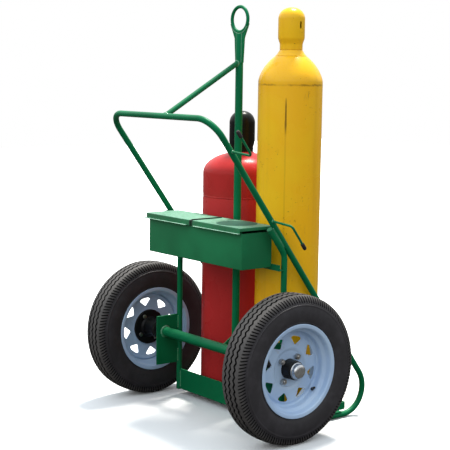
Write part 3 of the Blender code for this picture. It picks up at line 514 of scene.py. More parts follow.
def build_finishes(settings):
    green, sheet = settings.green, settings.green_sheet
    FINISH["green"] = painted("Green frame paint", green, (0.05, 0.06, 0.05), 0.18, 0.25, 0.03, 0.36, 0.0,
                              specular=0.18, tint=(0.25, 1.0, 0.70))
    # Painted highlight: the weld beads are painted a lighter, glossier green than the frame to show light
    # glinting on them.
    bead = [channel * 1.6 + 0.02 for channel in green]
    FINISH["bead"] = painted("Green weld bead with painted highlight", bead, (0.3, 0.35, 0.3), 0.2, 0.5, 0.3, 0.20, 0.6,
                             specular=0.6)
    FINISH["sheet"] = painted("Green sheet paint", sheet, (0.06, 0.07, 0.06), 0.22, 0.18, 0.10, 0.40, 0.03,
                              scale=0.8, tint=(0.45, 1.0, 0.75))
    # Painted shade: near-black green for the raised strip on the lid seam, which shows the shaded step where
    # the lids meet.
    FINISH["strip"] = painted("Dark seam strip", (0.004, 0.022, 0.013), (0.05, 0.06, 0.05), 0.2, 0.2, 0.0,
                              0.6, 0.0, specular=0.08)
    # Painted highlight: the lip's upward face is painted pale mint to show it catching the light.
    FINISH["lip"] = painted("Pale lip with painted highlight", sheet, (0.20, 0.24, 0.20), 0.10, 0.30, 0.95, 0.45, 0.0,
                            dust_and_sheen_colour=(0.55, 0.86, 0.68))
    # Size and place of the lid's dull, darker round patch.
    round_patch_radius = 0.076
    round_patch_centre = (high("lid_right").x - 0.118, middle("lid_right").y + 0.006, high("lid_right").z)
    FINISH["lid"] = lid_paint(sheet, round_patch_centre, round_patch_radius)
    yellow_scratch = Vector((0.666, -0.746, 0)) * half_size("oxygen_cylinder").x + Z * 1.130
    red_scratch = Vector((-0.30, -0.954, 0)) * half_size("acetylene_cylinder").x + Z * 0.42
    # (0.85, 0.62, 0.12) and (0.55, 0.12, 0.11) are the painted shoulder highlight colours of the two
    # cylinders.
    FINISH["yellow"] = cylinder_enamel("Yellow cylinder enamel", settings.yellow, (0.22, 0.10, 0.008),
                                       (0.85, 0.62, 0.12), YELLOW_SEAM, 0.55, 0.55, 0.12, 0.20,
                                       yellow_scratch)
    FINISH["red"] = cylinder_enamel("Red cylinder enamel", settings.red, (0.07, 0.006, 0.007),
                                    (0.55, 0.12, 0.11), RED_SEAM, 0.22, 0.35, 0.04, 0.08, red_scratch)
    FINISH["cap"] = painted("Black cap enamel", (0.007, 0.008, 0.008), (0.08, 0.07, 0.06), 0.2, 0.3, 0.04,
                            0.30, 0.04, specular=0.08)
    # The rim colour holds a painted bluish sky shade on white enamel.
    FINISH["rim"] = painted("Rim enamel", settings.rim, (0.30, 0.22, 0.16), 0.10, 0.20, 0.05, 0.34, 0.35,
                            dust_and_sheen_colour=(0.6, 0.55, 0.5))
    FINISH["hub"] = painted("Black hub paint", (0.006, 0.006, 0.007), (0.05, 0.05, 0.05), 0.1, 0.3, 0.03,
                            0.38, 0.0, specular=0.2)
    FINISH["tyre"] = tyre_rubber(settings.rubber)
    # Painted shade: the grooves and slots get rubber darker than the tyre's own, to show the shade inside
    # them.
    FINISH["groove"] = plain_rubber("Tread groove with painted shade", (0.006, 0.006, 0.006), 0.12)
    FINISH["rubber"] = plain_rubber("Moulded rubber", (0.018, 0.017, 0.017), 0.40)
    FINISH["zinc"] = metal("Bright zinc", (0.74, 0.75, 0.77), 0.24, 0.14)
    FINISH["steel"] = metal("Plated steel", (0.52, 0.50, 0.47), 0.38, 0.22)
    FINISH["brass"] = metal("Valve brass", (0.66, 0.47, 0.18), 0.34, 0.2)


# ---------------------------------------------------------------- mesh helpers
def outward_mesh(name, verts, faces):
    """A mesh whose faces all look outwards."""
    mesh = bpy.data.meshes.new(name)
    mesh.from_pydata([tuple(v) for v in verts], [], [tuple(f) for f in faces])
    mesh.validate()
    bm = bmesh.new()
    bm.from_mesh(mesh)
    bmesh.ops.recalc_face_normals(bm, faces=bm.faces)
    bm.to_mesh(mesh)
    bm.free()
    return mesh


def as_object(name, verts, faces, finish, body, slot, stands_for=(), smooth=40.0):
    """A mesh piece that rides on a body, with its finish."""
    mesh = outward_mesh(name, verts, faces)
    mesh.shade_smooth()
    mesh.set_sharp_from_angle(angle=math.radians(smooth))
    mesh.materials.append(FINISH[finish])
    obj = bpy.data.objects.new(name, mesh)
    bpy.context.scene.collection.objects.link(obj)
    register_piece(obj, body, stands_for)
    return obj


def register_piece(obj, body, stands_for=()):
    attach(obj, body)
    if stands_for:
        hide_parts(*stands_for)


def put_at(obj, point):
    """Move a piece's own origin without moving its surface, so that its texture turns about that point."""
    point = Vector(point)
    obj.data.transform(Matrix.Translation(-point))
    obj.matrix_world = obj.matrix_world @ Matrix.Translation(point)
    return obj


def bevelled(obj, width, segments=2, angle=40.0):
    modifier = obj.modifiers.new("Rounded edges", "BEVEL")
    modifier.width = width
    modifier.segments = segments
    modifier.limit_method = "ANGLE"
    modifier.angle_limit = math.radians(angle)
    modifier.harden_normals = False
    return obj


def ring_frames(points, closed):
    """Tangent, and two crosswise directions that turn as little as possible along the path."""
    count = len(points)
    tangents = []
    for index in range(count):
        before = points[index - 1] if closed or index else points[index]
        after = points[(index + 1) % count] if closed or index < count - 1 else points[index]
        tangents.append((after - before).normalized())
    side = tangents[0].orthogonal().normalized()
    frames = []
    for index, tangent in enumerate(tangents):
        if index:
            side = tangents[index - 1].rotation_difference(tangent) @ side
        side = (side - tangent * side.dot(tangent)).normalized()
        frames.append((side, tangent.cross(side)))
    return frames


def sweep(points, radius, sides=20, closed=False):
    """A round tube along points. radius is a number or one number for each point."""
    points = [Vector(p) for p in points]
    radii = radius if isinstance(radius, (list, tuple)) else [radius] * len(points)
    verts, faces = [], []
    for point, (across, over), r in zip(points, ring_frames(points, closed), radii):
        for step in range(sides):
            angle = math.tau * step / sides
            verts.append(point + across * (r * math.cos(angle)) + over * (r * math.sin(angle)))
    rings = len(points)
    for ring in range(rings if closed else rings - 1):
        following = (ring + 1) % rings
        for step in range(sides):
            beside = (step + 1) % sides
            faces.append((ring * sides + step, ring * sides + beside, following * sides + beside,
                          following * sides + step))
    if not closed:
        faces.append(tuple(range(sides - 1, -1, -1)))
        faces.append(tuple((rings - 1) * sides + step for step in range(sides)))
    return verts, faces


def bent_path(corners, radii, steps):
    """The points of a path whose inner corners are rounded by arcs."""
    corners = [Vector(corner) for corner in corners]
    path = [corners[0]]
    for before, corner, after, radius in zip(corners, corners[1:], corners[2:], radii):
        back = (before - corner).normalized()
        onward = (after - corner).normalized()
        half = back.angle(onward) / 2
        centre = corner + (back + onward).normalized() * (radius / math.sin(half))
        first = corner + back * (radius / math.tan(half)) - centre
        last = corner + onward * (radius / math.tan(half)) - centre
        sweep_angle = first.angle(last)
        turn_axis = first.cross(last).normalized()
        for step in range(steps + 1):
            path.append(centre + Matrix.Rotation(sweep_angle * step / steps, 3, turn_axis) @ first)
    path.append(corners[-1])
    return path


def lathe(profile, axis, centre, steps=96, closed=False):
    """A profile of (distance along the axis, radius), spun about the axis through centre."""
    turn = Z.rotation_difference(Vector(axis)).to_matrix()
    centre = Vector(centre)
    verts, faces, rows = [], [], []
    for along, radius in profile:
        if radius < 1e-7:
            rows.append([len(verts)])
            verts.append(centre + turn @ Vector((0, 0, along)))
            continue
        rows.append(list(range(len(verts), len(verts) + steps)))
        for step in range(steps):
            angle = math.tau * step / steps
            verts.append(centre + turn @ Vector((radius * math.cos(angle), radius * math.sin(angle), along)))
    pairs = list(zip(rows, rows[1:]))
    if closed:
        pairs.append((rows[-1], rows[0]))
    for first, second in pairs:
        for step in range(steps):
            beside = (step + 1) % steps
            quad = [first[step % len(first)], first[beside % len(first)], second[beside % len(second)],
                    second[step % len(second)]]
            corners = list(dict.fromkeys(quad))
            if len(corners) > 2:
                faces.append(tuple(corners))
    return verts, faces


def arc_points(centre, radius, first, last, steps):
    """Points (along, out) on an arc, angles in degrees from the first number's axis."""
    for step in range(steps + 1):
        angle = math.radians(first + (last - first) * step / steps)
        yield centre[0] + radius * math.cos(angle), centre[1] + radius * math.sin(angle)


def softened(profile, radius, steps=3, closed=False):
    """Round every corner of a two-number profile by a small radius."""
    points = [Vector((a, b, 0)) for a, b in profile]
    count = len(points)
    result = []
    for index, corner in enumerate(points):
        if not closed and index in (0, count - 1):
            result.append((corner.x, corner.y))
            continue
        back = points[index - 1] - corner
        onward = points[(index + 1) % count] - corner
        reach = min(radius, back.length * 0.45, onward.length * 0.45)
        start, end = corner + back.normalized() * reach, corner + onward.normalized() * reach
        for step in range(steps + 1):
            t = step / steps
            place = start * (1 - t) ** 2 + corner * 2 * t * (1 - t) + end * t ** 2
            result.append((place.x, place.y))
    return result


def loft(loops, cap_first=True, cap_last=True):
    """Skin over loops that have the same number of points."""
    count = len(loops[0])
    verts = [Vector(p) for loop in loops for p in loop]
    faces = []
    for row in range(len(loops) - 1):
        for step in range(count):
            beside = (step + 1) % count
            faces.append((row * count + step, row * count + beside, (row + 1) * count + beside,
                          (row + 1) * count + step))
    if cap_first:
        faces.append(tuple(range(count - 1, -1, -1)))
    if cap_last:
        faces.append(tuple((len(loops) - 1) * count + step for step in range(count)))
    return verts, faces


def joined(*parts):
    """Several vertex and face lists as one."""
    verts, faces = [], []
    for part_verts, part_faces in parts:
        shift = len(verts)
        verts += part_verts
        faces += [tuple(index + shift for index in face) for face in part_faces]
    return verts, faces


def slab(corner_low, corner_high):
    a, b = Vector(corner_low), Vector(corner_high)
    bottom = [(a.x, a.y, a.z), (b.x, a.y, a.z), (b.x, b.y, a.z), (a.x, b.y, a.z)]
    top = [(x, y, b.z) for x, y, _ in bottom]
    return loft([bottom, top])


def extruded(outline, axis, start, end):
    """An outline of two numbers (the other two axes, in order) extruded along a world axis."""
    index = "XYZ".index(axis)

    def at(level):
        loop = []
        for point in outline:
            place = list(point)
            place.insert(index, level)
            loop.append(place)
        return loop

    return loft([at(start), at(end)])


def tray(corner_low, corner_high, sheet, fold, corner, depths, upward):
    """Folded sheet: a flat panel with a skirt on chosen edges.

    depths are the skirt's depths on the -Y, +X, +Y and -X edges, where a depth of the sheet's own thickness
    means no skirt. The panel is at the bottom and the skirts stand up if upward is true.
    """
    x0, y0, x1, y1 = corner_low[0], corner_low[1], corner_high[0], corner_high[1]
    level = corner_low[2] if upward else corner_high[2]
    sign = 1 if upward else -1
    places = []
    corners = [(x1, y0, -90, depths[0], depths[1]), (x1, y1, 0, depths[1], depths[2]),
               (x0, y1, 90, depths[2], depths[3]), (x0, y0, 180, depths[3], depths[0])]
    for cx, cy, start, before, after in corners:
        inward = Vector((math.copysign(1, (x0 + x1) / 2 - cx), math.copysign(1, (y0 + y1) / 2 - cy), 0))
        centre = Vector((cx, cy, 0)) + inward * corner
        for step in range(5):
            angle = math.radians(start + 90 * step / 4)
            out = Vector((math.cos(angle), math.sin(angle), 0))
            depth = before if step <= 2 else after
            places.append((centre + out * corner, out, depth))
            if step == 2 and before != after:
                places.append((centre + out * corner, out, after))

    def loop(inset, drop_of):
        return [(p.x - out.x * inset, p.y - out.y * inset, level + sign * drop_of(depth))
                for p, out, depth in places]

    loops = []
    for step in range(5):
        angle = math.pi / 2 * step / 4
        loops.append(loop(fold * (1 - math.sin(angle)),
                          lambda depth, a=angle: min(fold, depth) * (1 - math.cos(a))))
    loops.append(loop(0, lambda depth: depth))
    loops.append(loop(sheet, lambda depth: depth))
    loops.append(loop(sheet, lambda depth: min(depth, max(fold, sheet))))
    loops.append(loop(max(fold, sheet), lambda depth: min(depth, sheet)))
    return loft(loops)


STEP_RUN, RIPPLE_RUN = 0.0012, 0.0042        # a weld bead's mesh step, and the length of one ripple


def ripple(count, radius, waves):
    """Bead radius along a weld: overlapping ripples."""
    return [radius * (1 + 0.16 * math.sin(waves * math.tau * i / count)) for i in range(count)]


def weld(name, points, body="frame", closed=False, radius=None):
    """A weld bead along points."""
    radius = radius or bpy.context.scene.cart_tubes.weld_radius
    points = [Vector(p) for p in points]
    length = sum((b - a).length for a, b in zip(points, points[1:]))
    dense = []
    count = max(24, int(length / STEP_RUN))
    for index in range(count):
        share = index / (count if closed else count - 1) * (len(points) if closed else len(points) - 1)
        first = int(share) % len(points)
        second = (first + 1) % len(points) if closed else min(first + 1, len(points) - 1)
        dense.append(points[first].lerp(points[second], share - int(share)))
    radii = ripple(count, radius, length / RIPPLE_RUN)
    if not closed:
        radii[0] = radii[-1] = radius * 0.35
    verts, faces = sweep(dense, radii, 10, closed)
    return as_object(name, verts, faces, "bead", body, "green_paint", smooth=60)


def circle(centre, axis, radius, steps=48):
    turn = Z.rotation_difference(Vector(axis)).to_matrix()
    angles = [math.tau * step / steps for step in range(steps)]
    return [Vector(centre) + turn @ Vector((radius * math.cos(a), radius * math.sin(a), 0)) for a in angles]


def mouth(start, direction, radius, post, post_axis, post_radius, steps=48):
    """Where a round tube that runs from start along direction meets a round post: a loop of points."""
    direction, post_axis = direction.normalized(), post_axis.normalized()
    across = direction.cross(post_axis).normalized()
    over = across.cross(direction)
    loop = []
    for step in range(steps):
        angle = math.tau * step / steps
        ray = start + across * (radius * math.cos(angle)) + over * (radius * math.sin(angle))
        offset = ray - post
        flat = offset - post_axis * offset.dot(post_axis)
        run = direction - post_axis * direction.dot(post_axis)
        a, b, c = run.dot(run), 2 * flat.dot(run), flat.dot(flat) - post_radius ** 2
        root = max(b * b - 4 * a * c, 0.0) ** 0.5
        loop.append(ray + direction * ((-b - root) / (2 * a)))
    return loop


# ---------------------------------------------------------------- stage
def build_floor():
    """A pale floor. It looks pale, but throws little light up, so that the cart's shaded sides stay deep."""
    size = 14.0
    mesh = bpy.data.meshes.new("studio_floor")
    corners = [(-size, -size, -0.001), (size, -size, -0.001), (size, size, -0.001), (-size, size, -0.001)]
    mesh.from_pydata(corners, [], [(0, 1, 2, 3)])
    mat, tree, shader = new_material("Pale studio floor", 1.0, specular=0.0)
    seen = tree.nodes.new("ShaderNodeLightPath").outputs["Is Camera Ray"]
    pale = mix(tree, noise(tree, coordinates(tree), 3.0), (0.86, 0.87, 0.88, 1), (0.90, 0.90, 0.90, 1))
    wire(tree, shader.inputs["Base Color"], mix(tree, seen, (0.06, 0.06, 0.058, 1), pale))
    mesh.materials.append(mat)
    floor = bpy.data.objects.new("studio_floor", mesh)
    bpy.context.scene.collection.objects.link(floor)


def build_sky(settings):
    """Plain white to look at. As a light it is a soft blue-white dome, brighter on the operator's side."""
    world = bpy.data.worlds.new("Studio")
    bpy.context.scene.world = world
    world.use_nodes = True
    tree = world.node_tree
    light = tree.nodes["Background"]
    direction = tree.nodes.new("ShaderNodeTexCoord").outputs["Generated"]
    split = tree.nodes.new("ShaderNodeSeparateXYZ")
    wire(tree, split.inputs[0], direction)
    toward = tree.nodes.new("ShaderNodeVectorMath")
    toward.operation = "DOT_PRODUCT"
    wire(tree, toward.inputs[0], direction)
    toward.inputs[1].default_value = (-0.35, -0.93, 0.0)
    side = ramp(tree, toward.outputs["Value"], -0.8, 0.9, 1.0, 1.7)
    height = ramp(tree, split.outputs["Z"], -0.05, 0.30, 0.15, 1.0)
    wire(tree, light.inputs["Color"],
         mix(tree, ramp(tree, split.outputs["Z"], 0.0, 0.8), (1.0, 0.98, 0.96, 1), (0.84, 0.93, 1.0, 1)))
    strength = maths(tree, "MULTIPLY", maths(tree, "MULTIPLY", side, height), settings.sky)
    wire(tree, light.inputs["Strength"], strength)
    white = tree.nodes.new("ShaderNodeBackground")
    white.inputs["Color"].default_value = (1, 1, 1, 1)
    chosen = tree.nodes.new("ShaderNodeMixShader")
    wire(tree, chosen.inputs[0], tree.nodes.new("ShaderNodeLightPath").outputs["Is Camera Ray"])
    wire(tree, chosen.inputs[1], light)
    wire(tree, chosen.inputs[2], white)
    wire(tree, tree.nodes["World Output"].inputs["Surface"], chosen)


def build_sun(settings):
    lamp = bpy.data.lights.new("sun", "SUN")
    lamp.energy = settings.sun
    lamp.color = (1.0, 0.96, 0.88)
    lamp.angle = math.radians(14)
    holder = bpy.data.objects.new("sun", lamp)
    holder.rotation_euler = Vector(settings.sun_from).to_track_quat("Z", "Y").to_euler()
    bpy.context.scene.collection.objects.link(holder)


def build_camera(settings):
    camera = bpy.data.cameras.new("camera")
    camera.lens = settings.lens
    camera.sensor_width = 36.0
    camera.clip_end = 60.0
    holder = bpy.data.objects.new("camera", camera)
    bpy.context.scene.collection.objects.link(holder)
    a, e = settings.azimuth, settings.tilt
    right = Vector((math.cos(a), math.sin(a), 0))
    forward = Vector((-math.sin(a) * math.cos(e), math.cos(a) * math.cos(e), -math.sin(e)))
    up = right.cross(forward)
    c, s = math.cos(settings.roll), math.sin(settings.roll)
    axes = Matrix((right * c + up * s, up * c - right * s, -forward)).transposed()
    holder.matrix_world = Matrix.Translation(Vector(settings.place)) @ axes.to_4x4()
    bpy.context.scene.camera = holder
    bpy.context.scene.view_settings.view_transform = "Standard"


# ---------------------------------------------------------------- tube frame
def leg_direction(tubes):
    return Vector((0, tubes.leg_slope, -1)).normalized()


def build_handle(tubes):
    """The push handle, legs, skid loops and rails: one long bent tube."""
    r = tubes.radius
    rail_z = low("handle_tube").z + r
    rail_end = AXLE.y + tubes.rail_end
    corner_y = GRIP_Y + tubes.leg_slope * (GRIP_Z - rail_z)
    half_path = [(rail_end, rail_z), (corner_y, rail_z), (GRIP_Y, GRIP_Z)]
    left = [(-SIDE_X, y, z) for y, z in half_path]
    right = [(SIDE_X, y, z) for y, z in half_path[::-1]]
    bends = [tubes.loop_bend, tubes.grip_bend, tubes.grip_bend, tubes.loop_bend]
    verts, faces = sweep(bent_path(left + right, bends, 24), r, 24)
    as_object("handle_bent_tube", verts, faces, "green", "frame", "green_paint", ["handle_tube"])


def build_uprights(tubes):
    """Uprights, bent back at the top and lapped on the legs' underside, with a bead along each lap."""
    r = tubes.radius
    leg = leg_direction(tubes)
    foot_y = high("upright_right").y - r
    beside = Vector((0, GRIP_Y, GRIP_Z - (2 * r + GAP) / leg.y))
    corner = beside + leg * ((foot_y - beside.y) / leg.y)
    top_z = high("upright_right").z
    reach = (top_z - r * abs(leg.y) - corner.z) / -leg.z
    top = corner - leg * reach
    for side, word in SIDES:
        x = side * SIDE_X
        route = [(x, foot_y, low("upright_right").z), (x, corner.y, corner.z), (x, top.y, top.z)]
        path = bent_path(route, [tubes.upright_bend], 20)
        verts, faces = sweep(path, r, 24)
        as_object(f"upright_tube_{word}", verts, faces, "green", "frame", "green_paint", [f"upright_{word}"])
        toward_leg = Vector((0, -leg.z, leg.y)) * (r + 0.0002)
        for lean in (-1, 1):
            seam = [top + toward_leg + leg * (0.004 + 0.09 * i / 8) for i in range(9)]
            weld(f"lap_weld_{word}_{'outer' if lean * side > 0 else 'inner'}",
                 [Vector((x + lean * 0.0042, p.y, p.z)) for p in seam], radius=0.0030)


def build_mast(tubes):
    mast_r = half_size("mast").x
    base = Vector((MAST.x, MAST.y, low("mast").z))
    top = Vector((MAST.x, MAST.y, high("mast").z))
    verts, faces = lathe(softened([(0, 0), (0, mast_r), ((top - base).length, mast_r),
                                   ((top - base).length, 0)], 0.0012), Z, base, 48)
    as_object("mast_tube", verts, faces, "green", "frame", "green_paint", ["mast"])
    weld("mast_foot_weld", circle(base + Z * 0.001, Z, mast_r + 0.0006))

    start = Vector((MAST.x, MAST.y, tubes.brace_height))
    end = Vector((MAST.x, GRIP_Y, GRIP_Z))
    run = (end - start).normalized()
    near_mast = mouth(end, -run, tubes.brace_radius, start, Z, mast_r)
    near_grip = mouth(start, run, tubes.brace_radius, end, X, tubes.radius)[::-1]
    first = mouth(end, -run, tubes.brace_radius, start, Z, mast_r - 0.001, 32)
    across = (-run).cross(Z).normalized()
    over = across.cross(-run)
    inside_grip = end - run * (tubes.radius * 0.9)
    last = []
    for step in range(32):
        angle = math.tau * step / 32
        out = across * math.cos(angle) + over * math.sin(angle)
        last.append(inside_grip + out * tubes.brace_radius)
    verts, faces = loft([first, last])
    as_object("brace_tube", verts, faces, "green", "frame", "green_paint", ["mast_brace"])
    weld("brace_top_weld", near_mast, closed=True)
    weld("brace_grip_weld", near_grip, closed=True)


def build_lifting_eye():
    """The ring on the mast, in the cradle of its tapered plate."""
    centre = middle("lifting_eye")
    rod_r = half_size("lifting_eye").y
    ring_r = half_size("lifting_eye").x - rod_r
    profile = list(arc_points((0, ring_r), rod_r, 0, 342, 19))
    verts, faces = lathe(profile, Y, centre, 96, closed=True)
    as_object("lifting_ring", verts, faces, "green", "frame", "green_paint", ["lifting_eye"])
    dress_node(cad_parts["eye_plate"], "green", 0.0012)
    outer = ring_r + rod_r
    mast_r = half_size("mast").x
    bottom, top = low("eye_plate").z, high("mast").z
    for face, word in ((-1, "back"), (1, "front")):
        points = []
        for step in range(17):
            angle = math.radians(-58 + 116 * step / 16)
            points.append(centre + Vector((outer * math.sin(angle), face * 0.0030, -outer * math.cos(angle))))
        weld(f"eye_weld_{word}", points)
        for lean, side in SIDES:
            x = MAST.x + lean * (mast_r + 0.0004)
            line = [Vector((x, MAST.y + face * 0.0034, bottom + (top - bottom) * i / 8)) for i in range(9)]
            weld(f"plate_weld_{word}_{side}", line, radius=0.0022)


def dress_node(obj, finish, bevel=0.0, segments=2):
    """Give a carried-over CAD node a finish, and rounded edges where it is sheet or plate."""
    obj.data.materials.clear()
    obj.data.materials.append(FINISH[finish])
    if bevel:
        welded = obj.modifiers.new("Joined corners", "WELD")
        welded.merge_threshold = 0.00002
        bevelled(obj, bevel, segments, 50.0)


# ---------------------------------------------------------------- tray, axle and plates
def build_tray():
    """The tray under the cylinders: folded floor with lips, side wings on the rails, and the back wall."""
    a, b = low("base_pan"), high("base_pan")
    sheet = 0.004
    inner = SIDE_X - TUBE_R - 2 * GAP
    wall_back = a.y + 0.0005
    wall_thick, wing_run = 0.006, 0.2824
    tray_back = high("upright_right").y + GAP
    lip = 0.0297
    floor = tray((-inner, a.y, a.z), (inner, b.y, a.z), sheet, 0.006, 0.008, (sheet, lip, lip, lip), True)
    wings = []
    for side, _ in SIDES:
        x0, x1 = sorted((side * (inner - 0.012), side * (SIDE_X + TUBE_R)))
        wings.append(slab((x0, tray_back, a.z + 0.0002), (x1, tray_back + wing_run, a.z + sheet - 0.0002)))
    obj = as_object("tray_sheet", *joined(floor, *wings), "green", "frame", "green_paint", ["base_pan"], 30)
    bevelled(obj, 0.0006, 2)
    notch = half_size("mast").x + 0.0006
    ends = {"left": (-inner + 0.0005, MAST.x - notch), "right": (MAST.x + notch, inner - 0.0005)}
    for word, (x0, x1) in ends.items():
        wall = slab((x0, wall_back, a.z + sheet * 0.5), (x1, wall_back + wall_thick, b.z))
        bevelled(as_object(f"tray_back_wall_{word}", *wall, "green", "frame", "green_paint"), 0.0014, 3)
    for side, word in SIDES:
        x = side * (inner + 0.0002)
        weld(f"tray_wall_weld_{word}",
             [Vector((x, wall_back + 0.001, a.z + 0.012 + (b.z - a.z - 0.02) * i / 8)) for i in range(9)])


def build_axle():
    """Axle tube with its collars, plates, gusset and spindles."""
    tube_r = half_size("axle_tube").z
    half = half_size("axle_tube").x
    bore, fit_r, end_r, stop_r = 0.0131, 0.0127, 0.0124, 0.0165
    profile = softened([(-half, bore), (-half, tube_r), (half, tube_r), (half, bore)], 0.001, closed=True)
    as_object("axle_cross_tube", *lathe(profile, X, AXLE, 48, closed=True), "green", "frame", "green_paint",
              ["axle_tube"], 35)
    for side, word in SIDES:
        name = f"axle_plate_{word}"
        dress_node(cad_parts[name], "green", 0.0010)
        plate = middle(name)
        half_thick = half_size(name).x
        for face, label, radius in ((-1, "inner", 0.0042), (1, "outer", 0.0032)):
            x = plate.x + side * face * (half_thick + 0.0012)
            weld(f"axle_weld_{word}_{label}", circle((x, AXLE.y, AXLE.z), X, tube_r + 0.0012), closed=True,
                 radius=radius)
        front = high(name).y
        for end, height in (("top", high(name).z - 0.03), ("foot", low(name).z + 0.03)):
            for lean, label in ((-1, "a"), (1, "b")):
                x = plate.x + lean * (half_thick + 0.0010)
                line = [Vector((x, front + 0.0008, height - 0.025 + 0.05 * i / 6)) for i in range(7)]
                weld(f"plate_{end}_weld_{word}_{label}", line)
        spindle = f"spindle_{word}"
        bar_in = abs(middle(spindle).x) - half_size(spindle).x
        bar_out = abs(middle(spindle).x) + half_size(spindle).x
        plate_out = abs(plate.x) + half_thick + GAP
        stop = HUB_IN - GAP
        profile = softened([(bar_in, 0), (bar_in, fit_r), (plate_out, fit_r), (plate_out, tube_r),
                            (stop - 0.006, tube_r), (stop, stop_r), (stop, end_r), (bar_out, end_r),
                            (bar_out, 0)], 0.0008)
        as_object(f"spindle_bar_{word}", *lathe(profile, X * side, AXLE, 40), "hub", "frame", "plated_steel",
                  [spindle], 35)
        dress_node(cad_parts[f"spindle_nut_{word}"], "steel", 0.0005)
    dress_node(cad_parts["axle_gusset"], "green", 0.0010)
    gusset_y = AXLE.y + tube_r + 0.001
    weld("gusset_weld", [Vector((MAST.x - 0.0034, gusset_y, AXLE.z + 0.015 * (1 - i / 4))) for i in range(9)])
    dress_node(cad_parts["toolbox_crossbar"], "green", 0.0008)


# ---------------------------------------------------------------- toolbox
def build_toolbox():
    """Folded sheet box, open at the top, with spot welds down its corner seams."""
    a, b = low("toolbox_body"), high("toolbox_body")
    depth = b.z - a.z
    end_depth = depth - 0.018
    sheet, fold, corner = 0.002, 0.0035, 0.004
    shell = tray(a, b, sheet, fold, corner, (depth, end_depth, depth, end_depth), True)
    obj = as_object("toolbox_sheet", *shell, "sheet", "frame", "green_sheet_paint", ["toolbox_body"], 30)
    bevelled(obj, 0.0005, 2)
    dimple = [(0.0, 0.0032), (0.00035, 0.0026), (0.0002, 0.0014), (0.0001, 0)]
    for side, word in SIDES:
        for index in range(4):
            spot = Vector((side * b.x, a.y + 0.010, a.z + 0.018 + 0.028 * index))
            as_object(f"spot_weld_{word}_{index + 1}", *lathe(dimple, X * side, spot, 20), "sheet",
                      "frame", "green_sheet_paint")
        dress_node(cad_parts[f"hinge_leaf_{word}"], "sheet")
        dress_node(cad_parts[f"hinge_pin_{word}"], "steel")


def build_lids():
    """Folded lids with an outward lip along the operator's edge, and their hinge knuckle."""
    sheet, lip, end_skirt, half = 0.002, 0.009, 0.012, 0.284
    pin_r, knuckle_r = 0.0026, 0.0045
    for side, word in SIDES:
        a, b = low(f"lid_{word}"), high(f"lid_{word}")
        hinge_y, hinge_z = middle(f"hinge_pin_{word}").y, middle(f"hinge_pin_{word}").z
        seam = b.x if side < 0 else a.x
        x0, x1 = sorted((seam, side * half))
        front, back, skirt = hinge_y - 0.0048, a.y + lip, b.z - a.z
        depths = (skirt, end_skirt if side > 0 else sheet, sheet, end_skirt if side < 0 else sheet)
        panel = tray((x0, back, b.z), (x1, front, b.z), sheet, 0.0030, 0.0030, depths, False)
        obj = as_object(f"lid_sheet_{word}", *panel, "lid", f"lid_{word}", "green_sheet_paint",
                        [f"lid_{word}"], 30)
        bevelled(obj, 0.0004, 2, 60)
        if side > 0:
            # A raised strip over the seam in near-black paint: painted shade of the step where the lids meet.
            strip = slab((seam + 0.0004, back + 0.0015, b.z - 0.0006),
                         (seam + 0.0110, front - 0.0160, b.z + 0.0036))
            obj = as_object("lid_seam_strip", *strip, "strip", "lid_right", "green_sheet_paint", (), 30)
            bevelled(obj, 0.0008)
        l0, l1 = sorted((side * 0.022, a.x if side < 0 else b.x))
        outline = [(a.y, a.z + 0.0004), (a.y + 0.0006, a.z), (back + sheet, a.z), (back + sheet, a.z + sheet),
                   (a.y + 0.0006, a.z + sheet), (a.y, a.z + sheet - 0.0004)]
        edge = as_object(f"lid_lip_{word}", *extruded(outline, "X", l0, l1), "lip", f"lid_{word}",
                         "green_sheet_paint", (), 30)
        bevelled(edge, 0.0004, 2, 60)
        pitch = (half - 2 * abs(seam)) / 3
        k0, k1 = sorted((side * (abs(seam) + pitch + GAP), side * (abs(seam) + 2 * pitch - GAP)))
        ring = softened([(k0, pin_r), (k0, knuckle_r), (k1, knuckle_r), (k1, pin_r)], 0.0005, closed=True)
        knuckle = lathe(ring, X, (0, hinge_y, hinge_z), 28, closed=True)
        strap = slab((k0, front - 0.002, b.z - sheet + 0.0001), (k1, hinge_y, b.z - 0.0001))
        as_object(f"lid_knuckle_{word}", *joined(knuckle, strap), "sheet", f"lid_{word}",
                  "green_sheet_paint", (), 35)


# ---------------------------------------------------------------- hose hooks and chain
def build_hose_hooks(tubes):
    """Bent rods on the right leg with dipped rubber tips."""
    leg = leg_direction(tubes)
    r, rise, tip_length = 0.00425, 0.007, 0.024
    for name, heading in (("upper", -leg), ("lower", leg)):
        node = f"hose_hook_{name}"
        start_x = low(node).x
        tip_x = high(node).x - r
        if name == "upper":
            base_z = low(node).z + r + rise
        else:
            base_z = high(node).z - r
        base_y = GRIP_Y + tubes.leg_slope * (GRIP_Z - base_z)
        start = Vector((start_x, base_y, base_z))
        corner = Vector((tip_x, base_y, base_z - rise))
        end = corner + heading * 0.103
        inset = Vector((start_x - 0.003, base_y, base_z))
        path = bent_path([inset, start + X * 0.001, corner, end], [0.0001, 0.014], 10)
        verts, faces = sweep(path, r, 18)
        as_object(f"hook_rod_{name}", verts, faces, "green", "frame", "green_paint", [node])
        weld(f"hook_weld_{name}", circle(start + X * 0.0004, X, r + 0.0006), closed=True, radius=0.0020)
        tip = end - heading * tip_length
        profile = softened([(-0.0005, r + 0.0002), (-0.0005, 0.0060), (0.0015, 0.0069), (0.0205, 0.0070),
                            (0.0262, 0.0050), (0.0268, 0)], 0.0012)
        as_object(f"hook_rubber_{name}", *lathe(profile, heading, tip, 28), "rubber", "frame", "black_rubber",
                  [f"hook_tip_{name}"])


